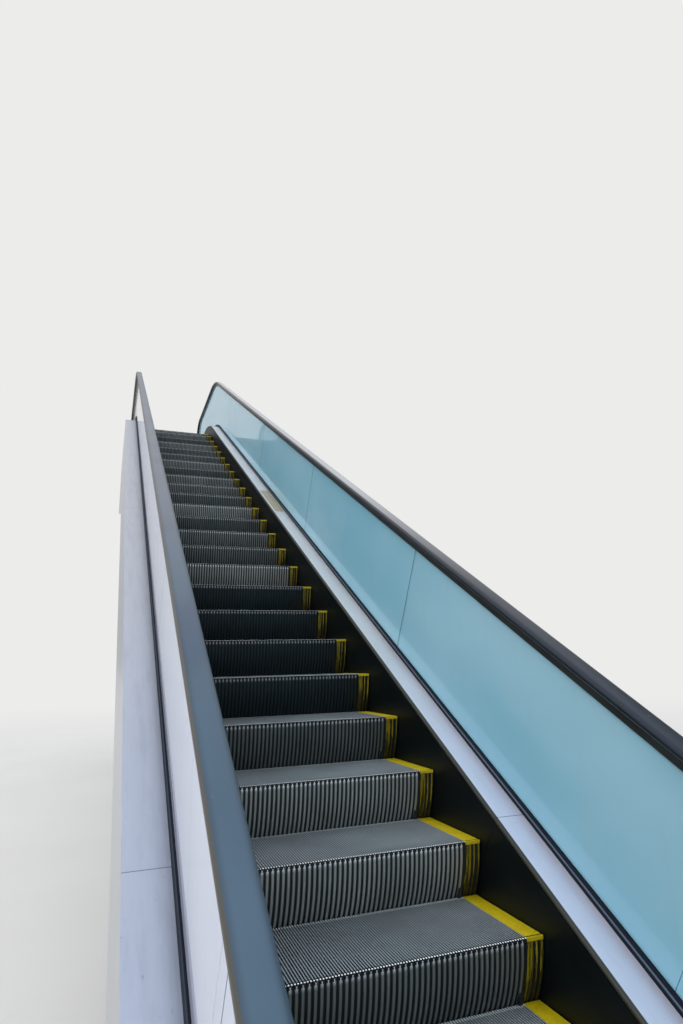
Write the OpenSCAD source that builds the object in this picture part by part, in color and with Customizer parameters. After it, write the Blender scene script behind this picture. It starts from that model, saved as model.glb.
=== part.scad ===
// Escalator for one storey, with glass balustrades and stainless decks.
// Millimetres, +Z up, the flight climbs towards +Y.
// Origin: the lower working point, where the line of the step noses meets the
// lower landing, taken down to the underside of the base pan.

/* [Flight] */
// Height from the lower landing to the upper landing
rise = 5400; // [3600:50:7500]
// Slope of the flight in degrees
incline = 30; // [28:1:32]
// Radius of the nosing line at the lower bend
bend_low = 1500; // [1300:50:2000]
// Radius of the nosing line at the upper bend
bend_up = 1500; // [1300:50:2000]
// Level run between the lower comb and the lower bend
level_low = 900; // [800:10:1000]
// Level run between the upper bend and the upper comb
level_up = 900; // [800:10:1000]

/* [Steps] */
// Width of a step
step_w = 1000; // [800:50:1100]
// Distance between two step noses along the flight
pitch = 405; // [400:1:410]
// How far the first whole step's nose stands past the lower comb
first_nose = 293; // [260:1:320]
// Thickness of a tread
tread_t = 30; // [26:1:34]
// Height of the cleats on a tread
cleat_h = 10; // [8:0.5:12]
// Width of a cleat's top
cleat_w = 4; // [3:0.1:4.6]
// Thickness of a riser
riser_t = 12; // [11:1:16]
// Number of ribs on a riser
ribs = 46; // [36:2:50]
// Plain strip of a riser between its ribs and the yellow edge
rib_edge = 8.82; // [4:0.02:20]
// Width of a rib's top
rib_top = 8; // [6:0.5:12]
// How far the ribs stand out of a riser
rib_depth = 6; // [4:0.5:7]
// Width of the yellow edge strips
yellow_w = 62; // [55:1:70]
// Thickness of the yellow strips
yellow_t = 4; // [3:0.5:5]
// Gap between a tread and the riser behind it
step_gap = 4; // [3:0.5:6]
// Thickness of a step's two side brackets
cheek_t = 14; // [10:1:18]
// Distance from a step's side to the outer face of its bracket
cheek_inset = 70; // [66:1:90]
// Diameter of the step rollers
roller_d = 60; // [50:1:66]
// Width of a step roller
roller_w = 22; // [16:1:26]
// Diameter of the rear axle
axle_d = 24; // [18:1:28]
// Distance of the rear axle behind the nose
rear_roller_y = 340; // [330:1:350]
// Distance of the front roller behind the nose
front_roller_y = 105; // [98:1:115]
// Thickness of the roller tracks
track_t = 12; // [8:1:16]

/* [Landings] */
// Height of the lower tread level above the base
tread_z = 80; // [70:1:100]
// Height of the floor plates above the treads
comb_drop = 10; // [9:1:14]
// Thickness of the floor and comb plates
plate_t = 8; // [6:1:9]
// Length of a comb plate
comb_plate_l = 460; // [420:10:520]
// Length of the comb teeth
tooth_l = 70; // [50:1:90]
// How far the comb teeth dip between the cleats
mesh_depth = 6; // [4:0.5:7]
// Width of a comb tooth
tooth_w = 3; // [2:0.1:3.4]
// Number of castings that make up a comb
comb_parts = 5; // [3:1:7]
// Spacing of the comb teeth and tread cleats
cleat_pitch = 9.33; // [8:0.01:10]
// Distance from a comb line to the end of the machine
landing_l = 1400; // [1300:10:1700]
// Thickness of the base pan
pan_t = 10; // [6:1:14]
// Width of the ribs that carry the floor plates
rib_w = 40; // [30:1:60]

/* [Balustrades] */
// Gap between a step and the skirt
skirt_gap = 4; // [2:0.5:5]
// Thickness of the skirt panels
skirt_t = 6; // [4:1:8]
// Height of the skirts above the nosing line, square to it
skirt_h = 122; // [110:1:130]
// Distance from the back of a skirt to the rear rollers
roller_gap = 8; // [5:1:12]
// Half the distance between the two sheets of glass
glass_x = 640; // [636:1:650]
// Thickness of the glass
glass_t = 10; // [8:1:12]
// Gap between two sheets of glass
glass_gap = 3; // [2:0.5:5]
// Distance of the first glass joint up the slope
glass_joint_first = 1090; // [1000:10:1300]
// Length of a sheet of glass
glass_joint_pitch = 1950; // [1500:10:2000]
// Width of the glass channel
gasket_w = 24; // [20:1:28]
// Height of the gasket's top above the nosing line, square to it
gasket_h = 173; // [165:1:185]
// Height of the inner deck beside the gasket
deck_h = 137; // [132:1:145]
// Thickness of the deck sheets
deck_t = 3; // [2:0.5:5]
// Height of the outer deck
outer_deck_h = 102; // [95:1:108]
// Distance of the first deck joint up the slope
deck_joint_first = 1800; // [1500:10:2000]
// Distance between two deck joints
deck_joint_pitch = 3900; // [2600:10:4200]
// Height of the handrail above the landing treads
rail_h = 1000; // [950:5:1080]
// Upright height of the handrail above the nosing line on the slope
rail_slope_h = 935; // [900:5:980]
// Width of the handrail
rail_w = 80; // [74:1:88]
// Depth of the handrail
rail_d = 30; // [28:1:36]
// Wall of the handrail
rail_wall = 10; // [8:0.5:11]
// Radius of the handrail's lower bend
rail_bend_low = 700; // [600:10:800]
// Radius of the handrail's upper bend
rail_bend_up = 1500; // [1300:10:1900]
// Outer radius of the handrail round the newels
newel_r = 385; // [360:5:400]
// Distance from a comb line to the newel's centre
newel_out = 690; // [600:10:800]

/* [Structure] */
// Overall width of the machine
overall_w = 1600; // [1560:10:1700]
// Depth of the truss below the nosing line, square to it
truss_depth = 860; // [800:10:950]
// Depth of the truss chords
chord_d = 90; // [70:5:110]
// Thickness of a truss side
truss_w = 90; // [80:5:100]
// Width of the truss posts and braces
brace_w = 60; // [50:5:80]
// Distance between two truss posts
bay_l = 1250; // [1000:10:1500]
// Thickness of the cladding and soffit sheets
sheet_t = 4; // [3:0.5:6]
// Distance between two cladding joints
cladding_pitch = 2600; // [2000:10:3000]
// Width of the bracket that rests on the upper floor
bearing_l = 150; // [120:5:200]
// Thickness of the bearing bracket
bearing_t = 25; // [20:1:30]

/* [Hidden] */

$fn = 48;
// Segments of the long bends
bend_fn = 360;
// Hairline between pieces that butt, and the seat of one piece on another
seat = 0.3;
half_tan = tan(incline / 2);
slope_run = rise / tan(incline);
comb_low_y = -bend_low * half_tan - level_low;
comb_up_y = slope_run + bend_up * half_tan + level_up;
end_low_y = comb_low_y - landing_l;
end_up_y = comb_up_y + landing_l;
floor_z = tread_z + comb_drop;
newel_low_y = comb_low_y - newel_out;
newel_up_y = comb_up_y + newel_out;
newel_z = tread_z + rail_h - newel_r;
inlet_clear = 10;
base_low_y = newel_low_y + inlet_clear;
base_up_y = newel_up_y - inlet_clear;
skirt_x = step_w / 2 + skirt_gap;
side_x = overall_w / 2 - sheet_t;
truss_x = glass_x - truss_w / 2;
far = 40000;
// Clearance round the floor plates and the combs
plate_clear = 1;
wide_x = side_x - plate_clear;
narrow_x = skirt_x - plate_clear;

// A path in side view is [y and z of its lower corner, y and z of its upper
// corner, radius of its lower bend, radius of its upper bend].
nose_path = [0, tread_z, slope_run, tread_z + rise, bend_low, bend_up];
rail_corner = (rail_h - rail_slope_h) / tan(incline);
rail_path = [
    rail_corner, tread_z + rail_h, slope_run + rail_corner, tread_z + rise + rail_h,
    rail_bend_low, rail_bend_up
];

function shifted(p, n) = [
    p[0] - n * half_tan, p[1] + n, p[2] - n * half_tan, p[3] + n, p[4] - n, p[5] + n
];
function moved(p, dy, dz) = [p[0] + dy, p[1] + dz, p[2] + dy, p[3] + dz, p[4], p[5]];
function bend_in(p) = [p[0] - p[4] * half_tan, p[1]];
function bend_out(p) = [p[0] + p[4] * half_tan * cos(incline), p[1] + p[4] * half_tan * sin(incline)];
function crest_in(p) = [p[2] - p[5] * half_tan * cos(incline), p[3] - p[5] * half_tan * sin(incline)];
function crest_out(p) = [p[2] + p[5] * half_tan, p[3]];
function slope_u(pt) = pt[0] * cos(incline) + (pt[1] - tread_z) * sin(incline);

bend_steps = 15;
// A panel between two joints is at least this long
least_panel = 50;
function low_arc(p) = [
    for (i = [0 : bend_steps]) let (a = incline * i / bend_steps)
        bend_in(p) + p[4] * [sin(a), 1 - cos(a)]
];
function up_arc(p) = [
    for (i = [0 : bend_steps]) let (a = incline * (1 - i / bend_steps))
        crest_out(p) - p[5] * [sin(a), 1 - cos(a)]
];
function path_points(p, y0, y1) = concat([[y0, p[1]]], low_arc(p), up_arc(p), [[y1, p[3]]]);
function reversed(v) = [for (i = [len(v) - 1 : -1 : 0]) v[i]];

// Steps: the place of a nose at the distance s along the nosing line from the lower comb
bend_low_s = bend_low * incline * PI / 180;
bend_up_s = bend_up * incline * PI / 180;
slope_s = rise / sin(incline) - (bend_low + bend_up) * half_tan;
nose_total = level_low + bend_low_s + slope_s + bend_up_s + level_up;
function on_low(a) = [bend_in(nose_path)[0] + bend_low * sin(a), tread_z + bend_low * (1 - cos(a))];
function on_up(a) = [
    crest_out(nose_path)[0] - bend_up * sin(a), tread_z + rise - bend_up * (1 - cos(a))
];
function past_slope(s) = s - level_low - bend_low_s - slope_s;
function nose_at(s) =
    s < level_low ? [comb_low_y + s, tread_z] :
    s < level_low + bend_low_s ? on_low((s - level_low) / bend_low * 180 / PI) :
    past_slope(s) < 0 ? bend_out(nose_path) + (s - level_low - bend_low_s) * [cos(incline), sin(incline)] :
    past_slope(s) < bend_up_s ? on_up((bend_up_s - past_slope(s)) / bend_up * 180 / PI) :
    [comb_up_y + s - nose_total, tread_z + rise];
step_count = floor((nose_total - first_nose) / pitch) + 2;
first_step_s = first_nose - pitch;
last_step_s = first_step_s + (step_count - 1) * pitch;
landing_steps = 4;
flights = 5;
flight_steps = step_count - 2 * landing_steps;
tread_d = pitch - step_gap;
riser_sweep = incline + 2;
cleated_x = step_w / 2 - yellow_w;
// The ribs share the riser's width between the yellow edges. This is half of one rib's share
rib_half = (cleated_x - rib_edge) / ribs;
// The riser's curve: the radius of its ribs' tops, a lip behind the nose, and of their roots
nose_lip = 0.5;
rib_crown = pitch - nose_lip;
rib_root = rib_crown - rib_depth;
comb_teeth = 2 * floor(cleated_x / cleat_pitch) + 1;
// Steps at each end whose treads pass under a comb
combed_steps = 2;
tread_clear = 2;
rear_roller_z = -tread_t - roller_d / 2 - tread_clear;
roller_n = rear_roller_z * cos(incline) - rear_roller_y * sin(incline);
front_roller_z = (roller_n + front_roller_y * sin(incline)) / cos(incline);
cheek_x = step_w / 2 - cheek_inset;
rear_roller_x = skirt_x + skirt_t + roller_gap;
// The tracks reach a little past the rollers' sides and under the upper comb plate
track_over = 1;
track_reach = 200;
track_w = roller_w + 2 * track_over;
rear_track_x = rear_roller_x - track_over;
rear_track = moved(nose_path, rear_roller_y, rear_roller_z);
front_track = moved(nose_path, front_roller_y, front_roller_z);
track_top = -roller_d / 2 - seat;
beam_d = 80;
beam_w = 60;

// Balustrade section
gasket_base = outer_deck_h - 2;
// The glass stands on this much rubber, in a channel that carries the balustrade
gasket_floor = 10;
glass_base = gasket_base + gasket_floor + seat;
clamp_w = gasket_w;
clamp_base = -60;
// Handrail guide: its body over the glass, and the neck inside the handrail
guide_w = 26;
guide_d = 36;
guide_web = 6;
neck_inset = 12;
guide_neck = rail_w - 2 * rail_wall - 2 * neck_inset;
glass_grip = 20;
glass_top = rail_d + guide_d - glass_grip;
// Housing that takes the handrail in at a newel's foot
cowl_rise = 85;
cowl_top = newel_z - newel_r + cowl_rise;
cowl_l = 420;
inlet_z = tread_z + clamp_base + seat;

module side_plate(x0, w) {
    translate([x0, 0, 0]) rotate([90, 0, 90]) linear_extrude(w) children();
}

// Strip between two paths, from one place to another
module between(low, up, y0, y1) {
    polygon(concat(path_points(up, y0, y1), reversed(path_points(low, y0, y1))));
}

// Strip between two heights over the nosing line
module band(n0, n1, y0, y1) {
    between(shifted(nose_path, n0), shifted(nose_path, n1), y0, y1);
}

// What lies above a level
module above(z) {
    difference() {
        children();
        translate([-far, -far]) square([2 * far, far + z]);
    }
}

// Thin cut square to the slope
module slope_cut(u, gap) {
    translate([u * cos(incline), tread_z + u * sin(incline)]) rotate(incline)
        translate([-gap / 2, -far]) square([gap, 2 * far]);
}

// Thin upright cut
module level_cut(y, gap) {
    translate([y - gap / 2, -far]) square([gap, 2 * far]);
}

// A section drawn as [x, height over the path] is run along parts of a path.
module level_run(y0, y1, z) {
    translate([0, y1, z]) rotate([90, 0, 0]) linear_extrude(y1 - y0) children();
}

module slope_run_of(p, u0, u1) {
    foot = bend_out(p);
    translate([0, foot[0], foot[1]]) rotate([incline, 0, 0])
        translate([0, u1 - slope_u(foot), 0]) rotate([90, 0, 0]) linear_extrude(u1 - u0) children();
}

module bend_run(p) {
    translate([0, bend_in(p)[0], p[1] + p[4]]) rotate([90, 0, 90]) rotate([0, 0, -90])
        rotate_extrude(angle = incline, $fn = bend_fn) translate([p[4], 0]) rotate(90) children();
}

module crest_run(p) {
    translate([0, crest_out(p)[0], p[3] - p[5]]) rotate([90, 0, 90]) rotate([0, 0, 90])
        rotate_extrude(angle = incline, $fn = bend_fn) translate([p[5], 0]) mirror([1, -1, 0]) children();
}

// The whole way from one landing to the other, in pieces that butt
module full_run(p, y0, y1, cuts) {
    u0 = slope_u(bend_out(p));
    u1 = slope_u(crest_in(p));
    inner = [for (u = cuts) if (u > u0 + least_panel && u < u1 - least_panel) u];
    ends = concat([u0], inner, [u1]);
    level_run(y0, bend_in(p)[0] - seat, p[1]) children();
    bend_run(p) children();
    for (i = [0 : len(ends) - 2])
        slope_run_of(p, ends[i] + seat, ends[i + 1] - (i == len(ends) - 2 ? seat : 0)) children();
    crest_run(p) children();
    level_run(crest_out(p)[0] + seat, y1, p[3]) children();
}

// Joints up the slope. The last ones stay clear of the upper bend
last_joint = rise / sin(incline) - 900;
deck_cuts = [for (u = [deck_joint_first : deck_joint_pitch : last_joint]) u];
glass_cuts = [for (u = [glass_joint_first : glass_joint_pitch : last_joint]) u];
cladding_cuts = [for (u = [deck_joint_first : cladding_pitch : last_joint]) u];

// Steps

// Ribs of a riser in plan, as [distance from the riser's centre line, place across the step]
function rib_points(i) =
    let (x = (2 * i - ribs + 1) * rib_half)
    [[rib_root, x - rib_half], [rib_crown, x - rib_top / 2], [rib_crown, x + rib_top / 2]];

// A section is turned about the line that the riser is curved round, from one angle to another
module riser_turn(from, to) {
    translate([0, pitch, 0]) rotate([90, 0, 90]) rotate([0, 0, 180 + from])
        rotate_extrude(angle = to - from, $fn = bend_fn) children();
}

module riser_section() {
    polygon(concat(
        [[pitch - riser_t, -step_w / 2], [rib_root, -step_w / 2]],
        [for (i = [0 : ribs - 1]) each rib_points(i)],
        [[rib_root, cleated_x - rib_edge], [rib_root, step_w / 2], [pitch - riser_t, step_w / 2]]
    ));
}

// A tread in front view: its edges are lowered for the yellow strips
function tread_edge(s) = [[s * step_w / 2, -yellow_t - seat], [s * (cleated_x + seat), -yellow_t - seat]];

module tread_block(y0, top, bottom) {
    translate([0, tread_d, 0]) rotate([90, 0, 0]) linear_extrude(tread_d - y0) polygon(concat(
        [[-step_w / 2, bottom]], tread_edge(-1), [[-cleated_x - seat, top], [cleated_x + seat, top]],
        reversed(tread_edge(1)), [[step_w / 2, bottom]]
    ));
}

// Grooves that leave narrow cleats: the comb's teeth run in the middle of the grooves
function groove_points(i) =
    let (x = (i - (comb_teeth - 1) / 2) * cleat_pitch, w = (cleat_pitch - cleat_w) / 2)
    [[x - w, 0], [x - w, -cleat_h], [x + w, -cleat_h], [x + w, 0]];

module cleated_block(bottom) {
    translate([0, tread_d, 0]) rotate([90, 0, 0]) linear_extrude(tread_d) polygon(concat(
        [[-cleated_x, bottom], [-cleated_x, 0]],
        [for (i = [0 : comb_teeth - 1]) each groove_points(i)],
        [[cleated_x, 0], [cleated_x, bottom]]
    ));
}

// The ribs start under the nose: a thin lip on a plain tread, the cleats' ends on a cleated one
module step_body(cleated) {
    inside = (riser_t + rib_depth) / 2;
    floor_t = 4;
    lip_t = 2 * yellow_t;
    under_nose = cleated ? cleat_h + floor_t / 2 : yellow_t + 2 * seat;
    tread_block(inside, cleated ? -under_nose : 0, -tread_t);
    if (cleated) cleated_block(-cleat_h - floor_t);
    else translate([-cleated_x, 0, -lip_t]) cube([2 * cleated_x, 2 * inside, lip_t]);
    riser_turn(asin(under_nose / (pitch - riser_t)), riser_sweep) riser_section();
}

module cheek_side() {
    inset = 6;
    boss = roller_d / 2 - inset;
    intersection() {
        translate([pitch, 0]) circle(pitch, $fn = bend_fn);
        polygon([
            [0, -tread_t / 2], [0, front_roller_z - boss],
            [front_roller_y + boss, front_roller_z - boss],
            [rear_roller_y + boss, rear_roller_z - boss],
            [rear_roller_y + boss, -tread_t / 2]
        ]);
    }
}

module roller(y, z, x) {
    translate([x, y, z]) rotate([0, 90, 0]) cylinder(d = roller_d, h = roller_w);
}

// Rollers that stand above the base pan are drawn, the others lie in the pit below it.
module step_half(floor_left) {
    side_plate(cheek_x - cheek_t, cheek_t) cheek_side();
    if (floor_left + front_roller_z - roller_d / 2 > 0)
        roller(front_roller_y, front_roller_z, cheek_x);
    if (floor_left + rear_roller_z - roller_d / 2 > 0)
        roller(rear_roller_y, rear_roller_z, rear_roller_x);
}

module axle_pin(floor_left) {
    bite = 1;
    if (floor_left + rear_roller_z - roller_d / 2 > 0)
        translate([cheek_x - bite, rear_roller_y, rear_roller_z]) rotate([0, 90, 0])
            cylinder(d = axle_d, h = rear_roller_x - cheek_x + 2 * bite);
}

module step(i) {
    at = nose_at(first_step_s + i * pitch);
    floor_left = at[1] - pan_t - seat;
    intersection() {
        translate([0, at[0], at[1]]) {
            step_body(min(i, step_count - 1 - i) < combed_steps);
            step_half(floor_left);
            mirror([1, 0, 0]) step_half(floor_left);
            axle_pin(floor_left);
            mirror([1, 0, 0]) axle_pin(floor_left);
        }
        translate([-step_w, at[0] - pitch, pan_t + seat]) cube([2 * step_w, 3 * pitch, far]);
    }
}

module step_group(first, last) {
    color("dimgray") for (i = [first : last]) step(i);
}

module steps_lower_landing() {
    step_group(0, landing_steps - 1);
}

module steps_flight(n) {
    first = landing_steps + ceil(flight_steps * (n - 1) / flights);
    last = landing_steps + ceil(flight_steps * n / flights) - 1;
    step_group(first, last);
}

module steps_upper_landing() {
    step_group(step_count - landing_steps, step_count - 1);
}

// Yellow strip along a tread's side, which turns down over the riser as four ribs
module yellow_edge() {
    x0 = cleated_x + 2 * seat;
    x1 = step_w / 2;
    root = rib_root + seat;
    web = 1.5;
    gap = 3;
    w = (x1 - x0 - 3 * gap) / 4;
    translate([x0, rib_depth / 2, -yellow_t]) cube([x1 - x0, tread_d - rib_depth / 2, yellow_t]);
    riser_turn(0, incline) polygon(concat(
        [[root, x0]],
        [for (i = [0 : 3]) each [
            [pitch, x0 + i * (w + gap)], [pitch, x0 + i * (w + gap) + w],
            if (i < 3) [root + web, x0 + i * (w + gap) + w],
            if (i < 3) [root + web, x0 + (i + 1) * (w + gap)]
        ]],
        [[root, x1]]
    ));
}

module yellow_edges_right() {
    color("gold") for (i = [0 : step_count - 1]) {
        at = nose_at(first_step_s + i * pitch);
        intersection() {
            translate([0, at[0], at[1]]) yellow_edge();
            translate([-step_w, at[0] - pitch, pan_t + seat]) cube([2 * step_w, 3 * pitch, far]);
        }
    }
}

module yellow_edges_left() {
    mirror([1, 0, 0]) yellow_edges_right();
}

module track_half() {
    intersection() {
        union() {
            full_run(front_track, comb_low_y, comb_up_y + track_reach, [])
                translate([cheek_x + track_over, track_top - track_t]) square([roller_w, track_t]);
            full_run(rear_track, comb_low_y, comb_up_y + track_reach, [])
                translate([rear_track_x, track_top - track_t]) square([track_w, track_t]);
        }
        translate([-far, -far, pan_t + seat]) cube([2 * far, 2 * far, 2 * far]);
    }
}

module step_tracks() {
    color("slategray") {
        track_half();
        mirror([1, 0, 0]) track_half();
    }
}

// Landings

module frame_plan(y0, y1, yb) {
    polygon([
        [-wide_x, y0], [wide_x, y0], [wide_x, yb], [narrow_x, yb], [narrow_x, y1], [-narrow_x, y1],
        [-narrow_x, yb], [-wide_x, yb]
    ]);
}

module frame_pockets(y0, y1, yb) {
    cols = 4;
    cell = (2 * narrow_x - rib_w) / cols;
    for (c = [0 : cols - 1])
        translate([-narrow_x + rib_w + c * cell, 0]) {
            translate([0, y0 + rib_w]) square([cell - rib_w, yb - y0 - 2 * rib_w]);
            translate([0, yb]) square([cell - rib_w, y1 - yb - rib_w]);
        }
    for (s = [-1, 1])
        translate([s * (side_x + skirt_x) / 2, (y0 + yb) / 2])
            square([side_x - skirt_x - 2 * rib_w, yb - y0 - 2 * rib_w], center = true);
}

module landing_frame(y0, y1, yb, h) {
    color("slategray") linear_extrude(h) difference() {
        frame_plan(y0, y1, yb);
        frame_pockets(y0, y1, yb);
    }
}

frame_gap = 20;
frame_low_y = comb_low_y + first_step_s - frame_gap;
frame_up_y = comb_up_y + last_step_s - nose_total + pitch + frame_gap;
upper_frame_h = comb_drop - plate_t - clamp_base;

module lower_landing_frame() {
    translate([0, 0, pan_t])
        landing_frame(end_low_y, frame_low_y, base_low_y - seat, floor_z - plate_t - pan_t);
}

module upper_landing_frame() {
    translate([0, end_up_y, tread_z + rise + clamp_base]) rotate([0, 0, 180])
        landing_frame(0, end_up_y - frame_up_y, end_up_y - base_up_y - seat, upper_frame_h);
}

module lower_base_pan() {
    pan_end = (tread_z - truss_depth / cos(incline)) / -tan(incline);
    color("slategray") translate([-side_x + seat, end_low_y, 0])
        cube([2 * (side_x - seat), pan_end - end_low_y, pan_t]);
}

// Floor plates of one landing, as seen from its comb: the narrow one lies between the newels
module floor_plates(reach, newel_reach) {
    joint = 2;
    color("silver") {
        translate([-narrow_x, comb_plate_l + joint, 0])
            cube([2 * narrow_x, newel_reach - comb_plate_l - 2 * joint, plate_t]);
        translate([-wide_x, newel_reach + seat, 0])
            cube([2 * wide_x, reach - newel_reach - seat, plate_t]);
    }
}

module at_lower_comb() {
    translate([0, comb_low_y, floor_z - plate_t]) rotate([0, 0, 180]) children();
}

module at_upper_comb() {
    translate([0, comb_up_y, floor_z + rise - plate_t]) children();
}

module lower_floor_plates() {
    at_lower_comb() floor_plates(landing_l, comb_low_y - base_low_y);
}

module upper_floor_plates() {
    at_upper_comb() floor_plates(landing_l, base_up_y - comb_up_y);
}

module comb_plate() {
    color("silver") translate([-narrow_x, 0, 0]) cube([2 * narrow_x, comb_plate_l, plate_t]);
}

module lower_comb_plate() {
    at_lower_comb() comb_plate();
}

module upper_comb_plate() {
    at_upper_comb() comb_plate();
}

// Comb: castings side by side in front of the plate. The teeth dip into the grooves of the treads
module comb_part(first, last) {
    bar_l = 40;
    clear = comb_drop - plate_t;
    bite = 1;
    left = first == 0 ? -narrow_x : (first - comb_teeth / 2) * cleat_pitch + seat;
    right = last == comb_teeth - 1 ? narrow_x : (last + 1 - comb_teeth / 2) * cleat_pitch;
    translate([left, -bar_l, 0]) cube([right - left, bar_l - seat, plate_t]);
    for (i = [first : last])
        side_plate((i - (comb_teeth - 1) / 2) * cleat_pitch - tooth_w / 2, tooth_w) polygon([
            [-bar_l + bite, 0], [-bar_l + bite, plate_t], [-bar_l - tooth_l, -clear],
            [-bar_l - tooth_l + mesh_depth, -clear - mesh_depth], [-bar_l - mesh_depth, -clear - mesh_depth]
        ]);
}

module comb() {
    share = ceil(comb_teeth / comb_parts);
    color("silver") for (n = [0 : comb_parts - 1])
        comb_part(n * share, min((n + 1) * share, comb_teeth) - 1);
}

module lower_comb() {
    at_lower_comb() comb();
}

module upper_comb() {
    at_upper_comb() comb();
}

// Structure

// Bays of the truss between the two bends, along the slope
bay_first = slope_u(bend_out(nose_path));
bay_last = slope_u(crest_in(nose_path));
bays = floor((bay_last - bay_first) / bay_l);
bay = (bay_last - bay_first) / bays;

module truss_posts() {
    brace_h = truss_depth + clamp_base - chord_d;
    level_y = crest_out(nose_path)[0];
    translate([0, tread_z]) rotate(incline) for (i = [0 : bays]) {
        translate([bay_first + i * bay - brace_w / 2, -truss_depth]) square([brace_w, truss_depth]);
        if (i < bays) translate([bay_first + i * bay, -truss_depth + chord_d / 2])
            rotate(atan2(brace_h, bay)) translate([0, -brace_w / 2])
                square([norm([bay, brace_h]), brace_w]);
    }
    for (y = [level_y, (level_y + end_up_y) / 2, end_up_y - brace_w])
        translate([y, tread_z + rise - truss_depth]) square([brace_w, truss_depth]);
}

module truss_side() {
    above(pan_t) intersection() {
        band(-truss_depth, clamp_base, base_low_y, end_up_y - bearing_t - seat);
        union() {
            difference() {
                band(-truss_depth - 1, clamp_base + 1, base_low_y - 1, end_up_y + 1);
                band(-truss_depth + chord_d, clamp_base - chord_d, base_low_y - 2, end_up_y + 2);
            }
            truss_posts();
        }
    }
}

// The truss comes in three sections that are bolted end to end at the bends
module truss_right() {
    color("slategray") side_plate(truss_x, truss_w) difference() {
        truss_side();
        slope_cut(bay_first + brace_w, seat);
        slope_cut(bay_last - brace_w, seat);
    }
}

module truss_left() {
    mirror([1, 0, 0]) truss_right();
}

module beam(top) {
    translate([-truss_x + seat, -beam_w / 2, top - beam_d])
        cube([2 * (truss_x - seat), beam_w, beam_d]);
}

module cross_beams() {
    slope_top = roller_n + track_top - track_t - seat;
    level_top = front_roller_z + track_top - track_t - seat;
    rear_top = rear_roller_z + track_top - track_t - seat;
    lap = 1;
    past_bend = 100;
    color("slategray") {
        for (i = [1 : bays - 1])
            translate([0, 0, tread_z]) rotate([incline, 0, 0])
                translate([0, bay_first + i * bay, 0]) beam(slope_top);
        for (y = [crest_out(nose_path)[0] + rear_roller_y + past_bend, comb_up_y])
            translate([0, y, tread_z + rise]) {
                beam(level_top);
                for (s = [0, 1]) mirror([s, 0, 0])
                    translate([rear_track_x, -beam_w / 2, level_top - lap])
                        cube([track_w, beam_w, rear_top - level_top + lap]);
            }
    }
}

module upper_end_frame() {
    lap = 1;
    color("slategray") {
        translate([-side_x + seat, end_up_y - bearing_t, tread_z + rise - truss_depth])
            cube([2 * (side_x - seat), bearing_t, truss_depth + clamp_base - seat]);
        translate([-side_x + seat, end_up_y - lap, tread_z + rise + clamp_base - bearing_t - seat])
            cube([2 * (side_x - seat), bearing_l + lap, bearing_t]);
    }
}

// Gap between two cladding panels
panel_gap = 2;

module cladding_side() {
    above(0) difference() {
        intersection() {
            band(-truss_depth - sheet_t - seat, outer_deck_h - deck_t - seat, base_low_y, end_up_y);
            union() {
                translate([-far, -far]) square([far + base_up_y, 2 * far]);
                translate([-far, -far]) square([2 * far, far + floor_z + rise]);
            }
        }
        for (u = cladding_cuts) slope_cut(u, panel_gap);
        level_cut(bend_in(nose_path)[0], panel_gap);
        level_cut(crest_out(nose_path)[0], panel_gap);
    }
}

module side_cladding_right() {
    color("lightgray") side_plate(side_x, sheet_t) cladding_side();
}

module side_cladding_left() {
    mirror([1, 0, 0]) side_cladding_right();
}

module soffit_panels() {
    path = shifted(nose_path, -truss_depth - seat);
    color("lightgray") intersection() {
        full_run(path, base_low_y, end_up_y, cladding_cuts)
            translate([-side_x + seat, -sheet_t]) square([2 * (side_x - seat), sheet_t]);
        translate([-far, -far, 0]) cube([2 * far, 2 * far, 2 * far]);
    }
}

// Balustrades, drawn on the right and mirrored to the left

// The lower edge of a skirt runs just over the rear axles, which pass under it
module skirt_right() {
    axle_clear = 8;
    skirt_joint = 1;
    skirt_foot = moved(nose_path, rear_roller_y, rear_roller_z + axle_d / 2 + axle_clear);
    color("#26272a") side_plate(skirt_x, skirt_t) above(pan_t) difference() {
        between(skirt_foot, shifted(nose_path, skirt_h), base_low_y, base_up_y);
        for (u = cladding_cuts) slope_cut(u, skirt_joint);
        level_cut(bend_in(nose_path)[0], skirt_joint);
        level_cut(crest_out(nose_path)[0], skirt_joint);
    }
}

module skirt_left() {
    mirror([1, 0, 0]) skirt_right();
}

module inner_deck_right() {
    overhang = 2;
    lip = 16;
    edge_r = 8;
    x0 = skirt_x - overhang;
    x1 = glass_x - gasket_w / 2 - seat;
    color("gainsboro")
        full_run(nose_path, newel_low_y + cowl_l, newel_up_y - cowl_l, deck_cuts)
            union() {
                translate([x0 + edge_r, skirt_h + seat + edge_r]) circle(edge_r);
                polygon([
                    [x0 + edge_r, skirt_h + seat + 2 * edge_r], [x1, deck_h], [x1, deck_h - lip],
                    [x1 - deck_t, deck_h - lip], [x1 - deck_t, deck_h - deck_t],
                    [x0 + edge_r, skirt_h + seat + 2 * edge_r - deck_t]
                ]);
            }
}

module inner_deck_left() {
    mirror([1, 0, 0]) inner_deck_right();
}

module outer_deck_right() {
    lip = 20;
    x0 = glass_x + gasket_w / 2 + seat;
    x1 = overall_w / 2;
    color("gainsboro")
        full_run(nose_path, newel_low_y + cowl_l, newel_up_y - cowl_l, deck_cuts)
            polygon([
                [x0, outer_deck_h], [x1, outer_deck_h], [x1, outer_deck_h - deck_t],
                [x0 + deck_t, outer_deck_h - deck_t], [x0 + deck_t, outer_deck_h - lip],
                [x0, outer_deck_h - lip]
            ]);
}

module outer_deck_left() {
    mirror([1, 0, 0]) outer_deck_right();
}

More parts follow.
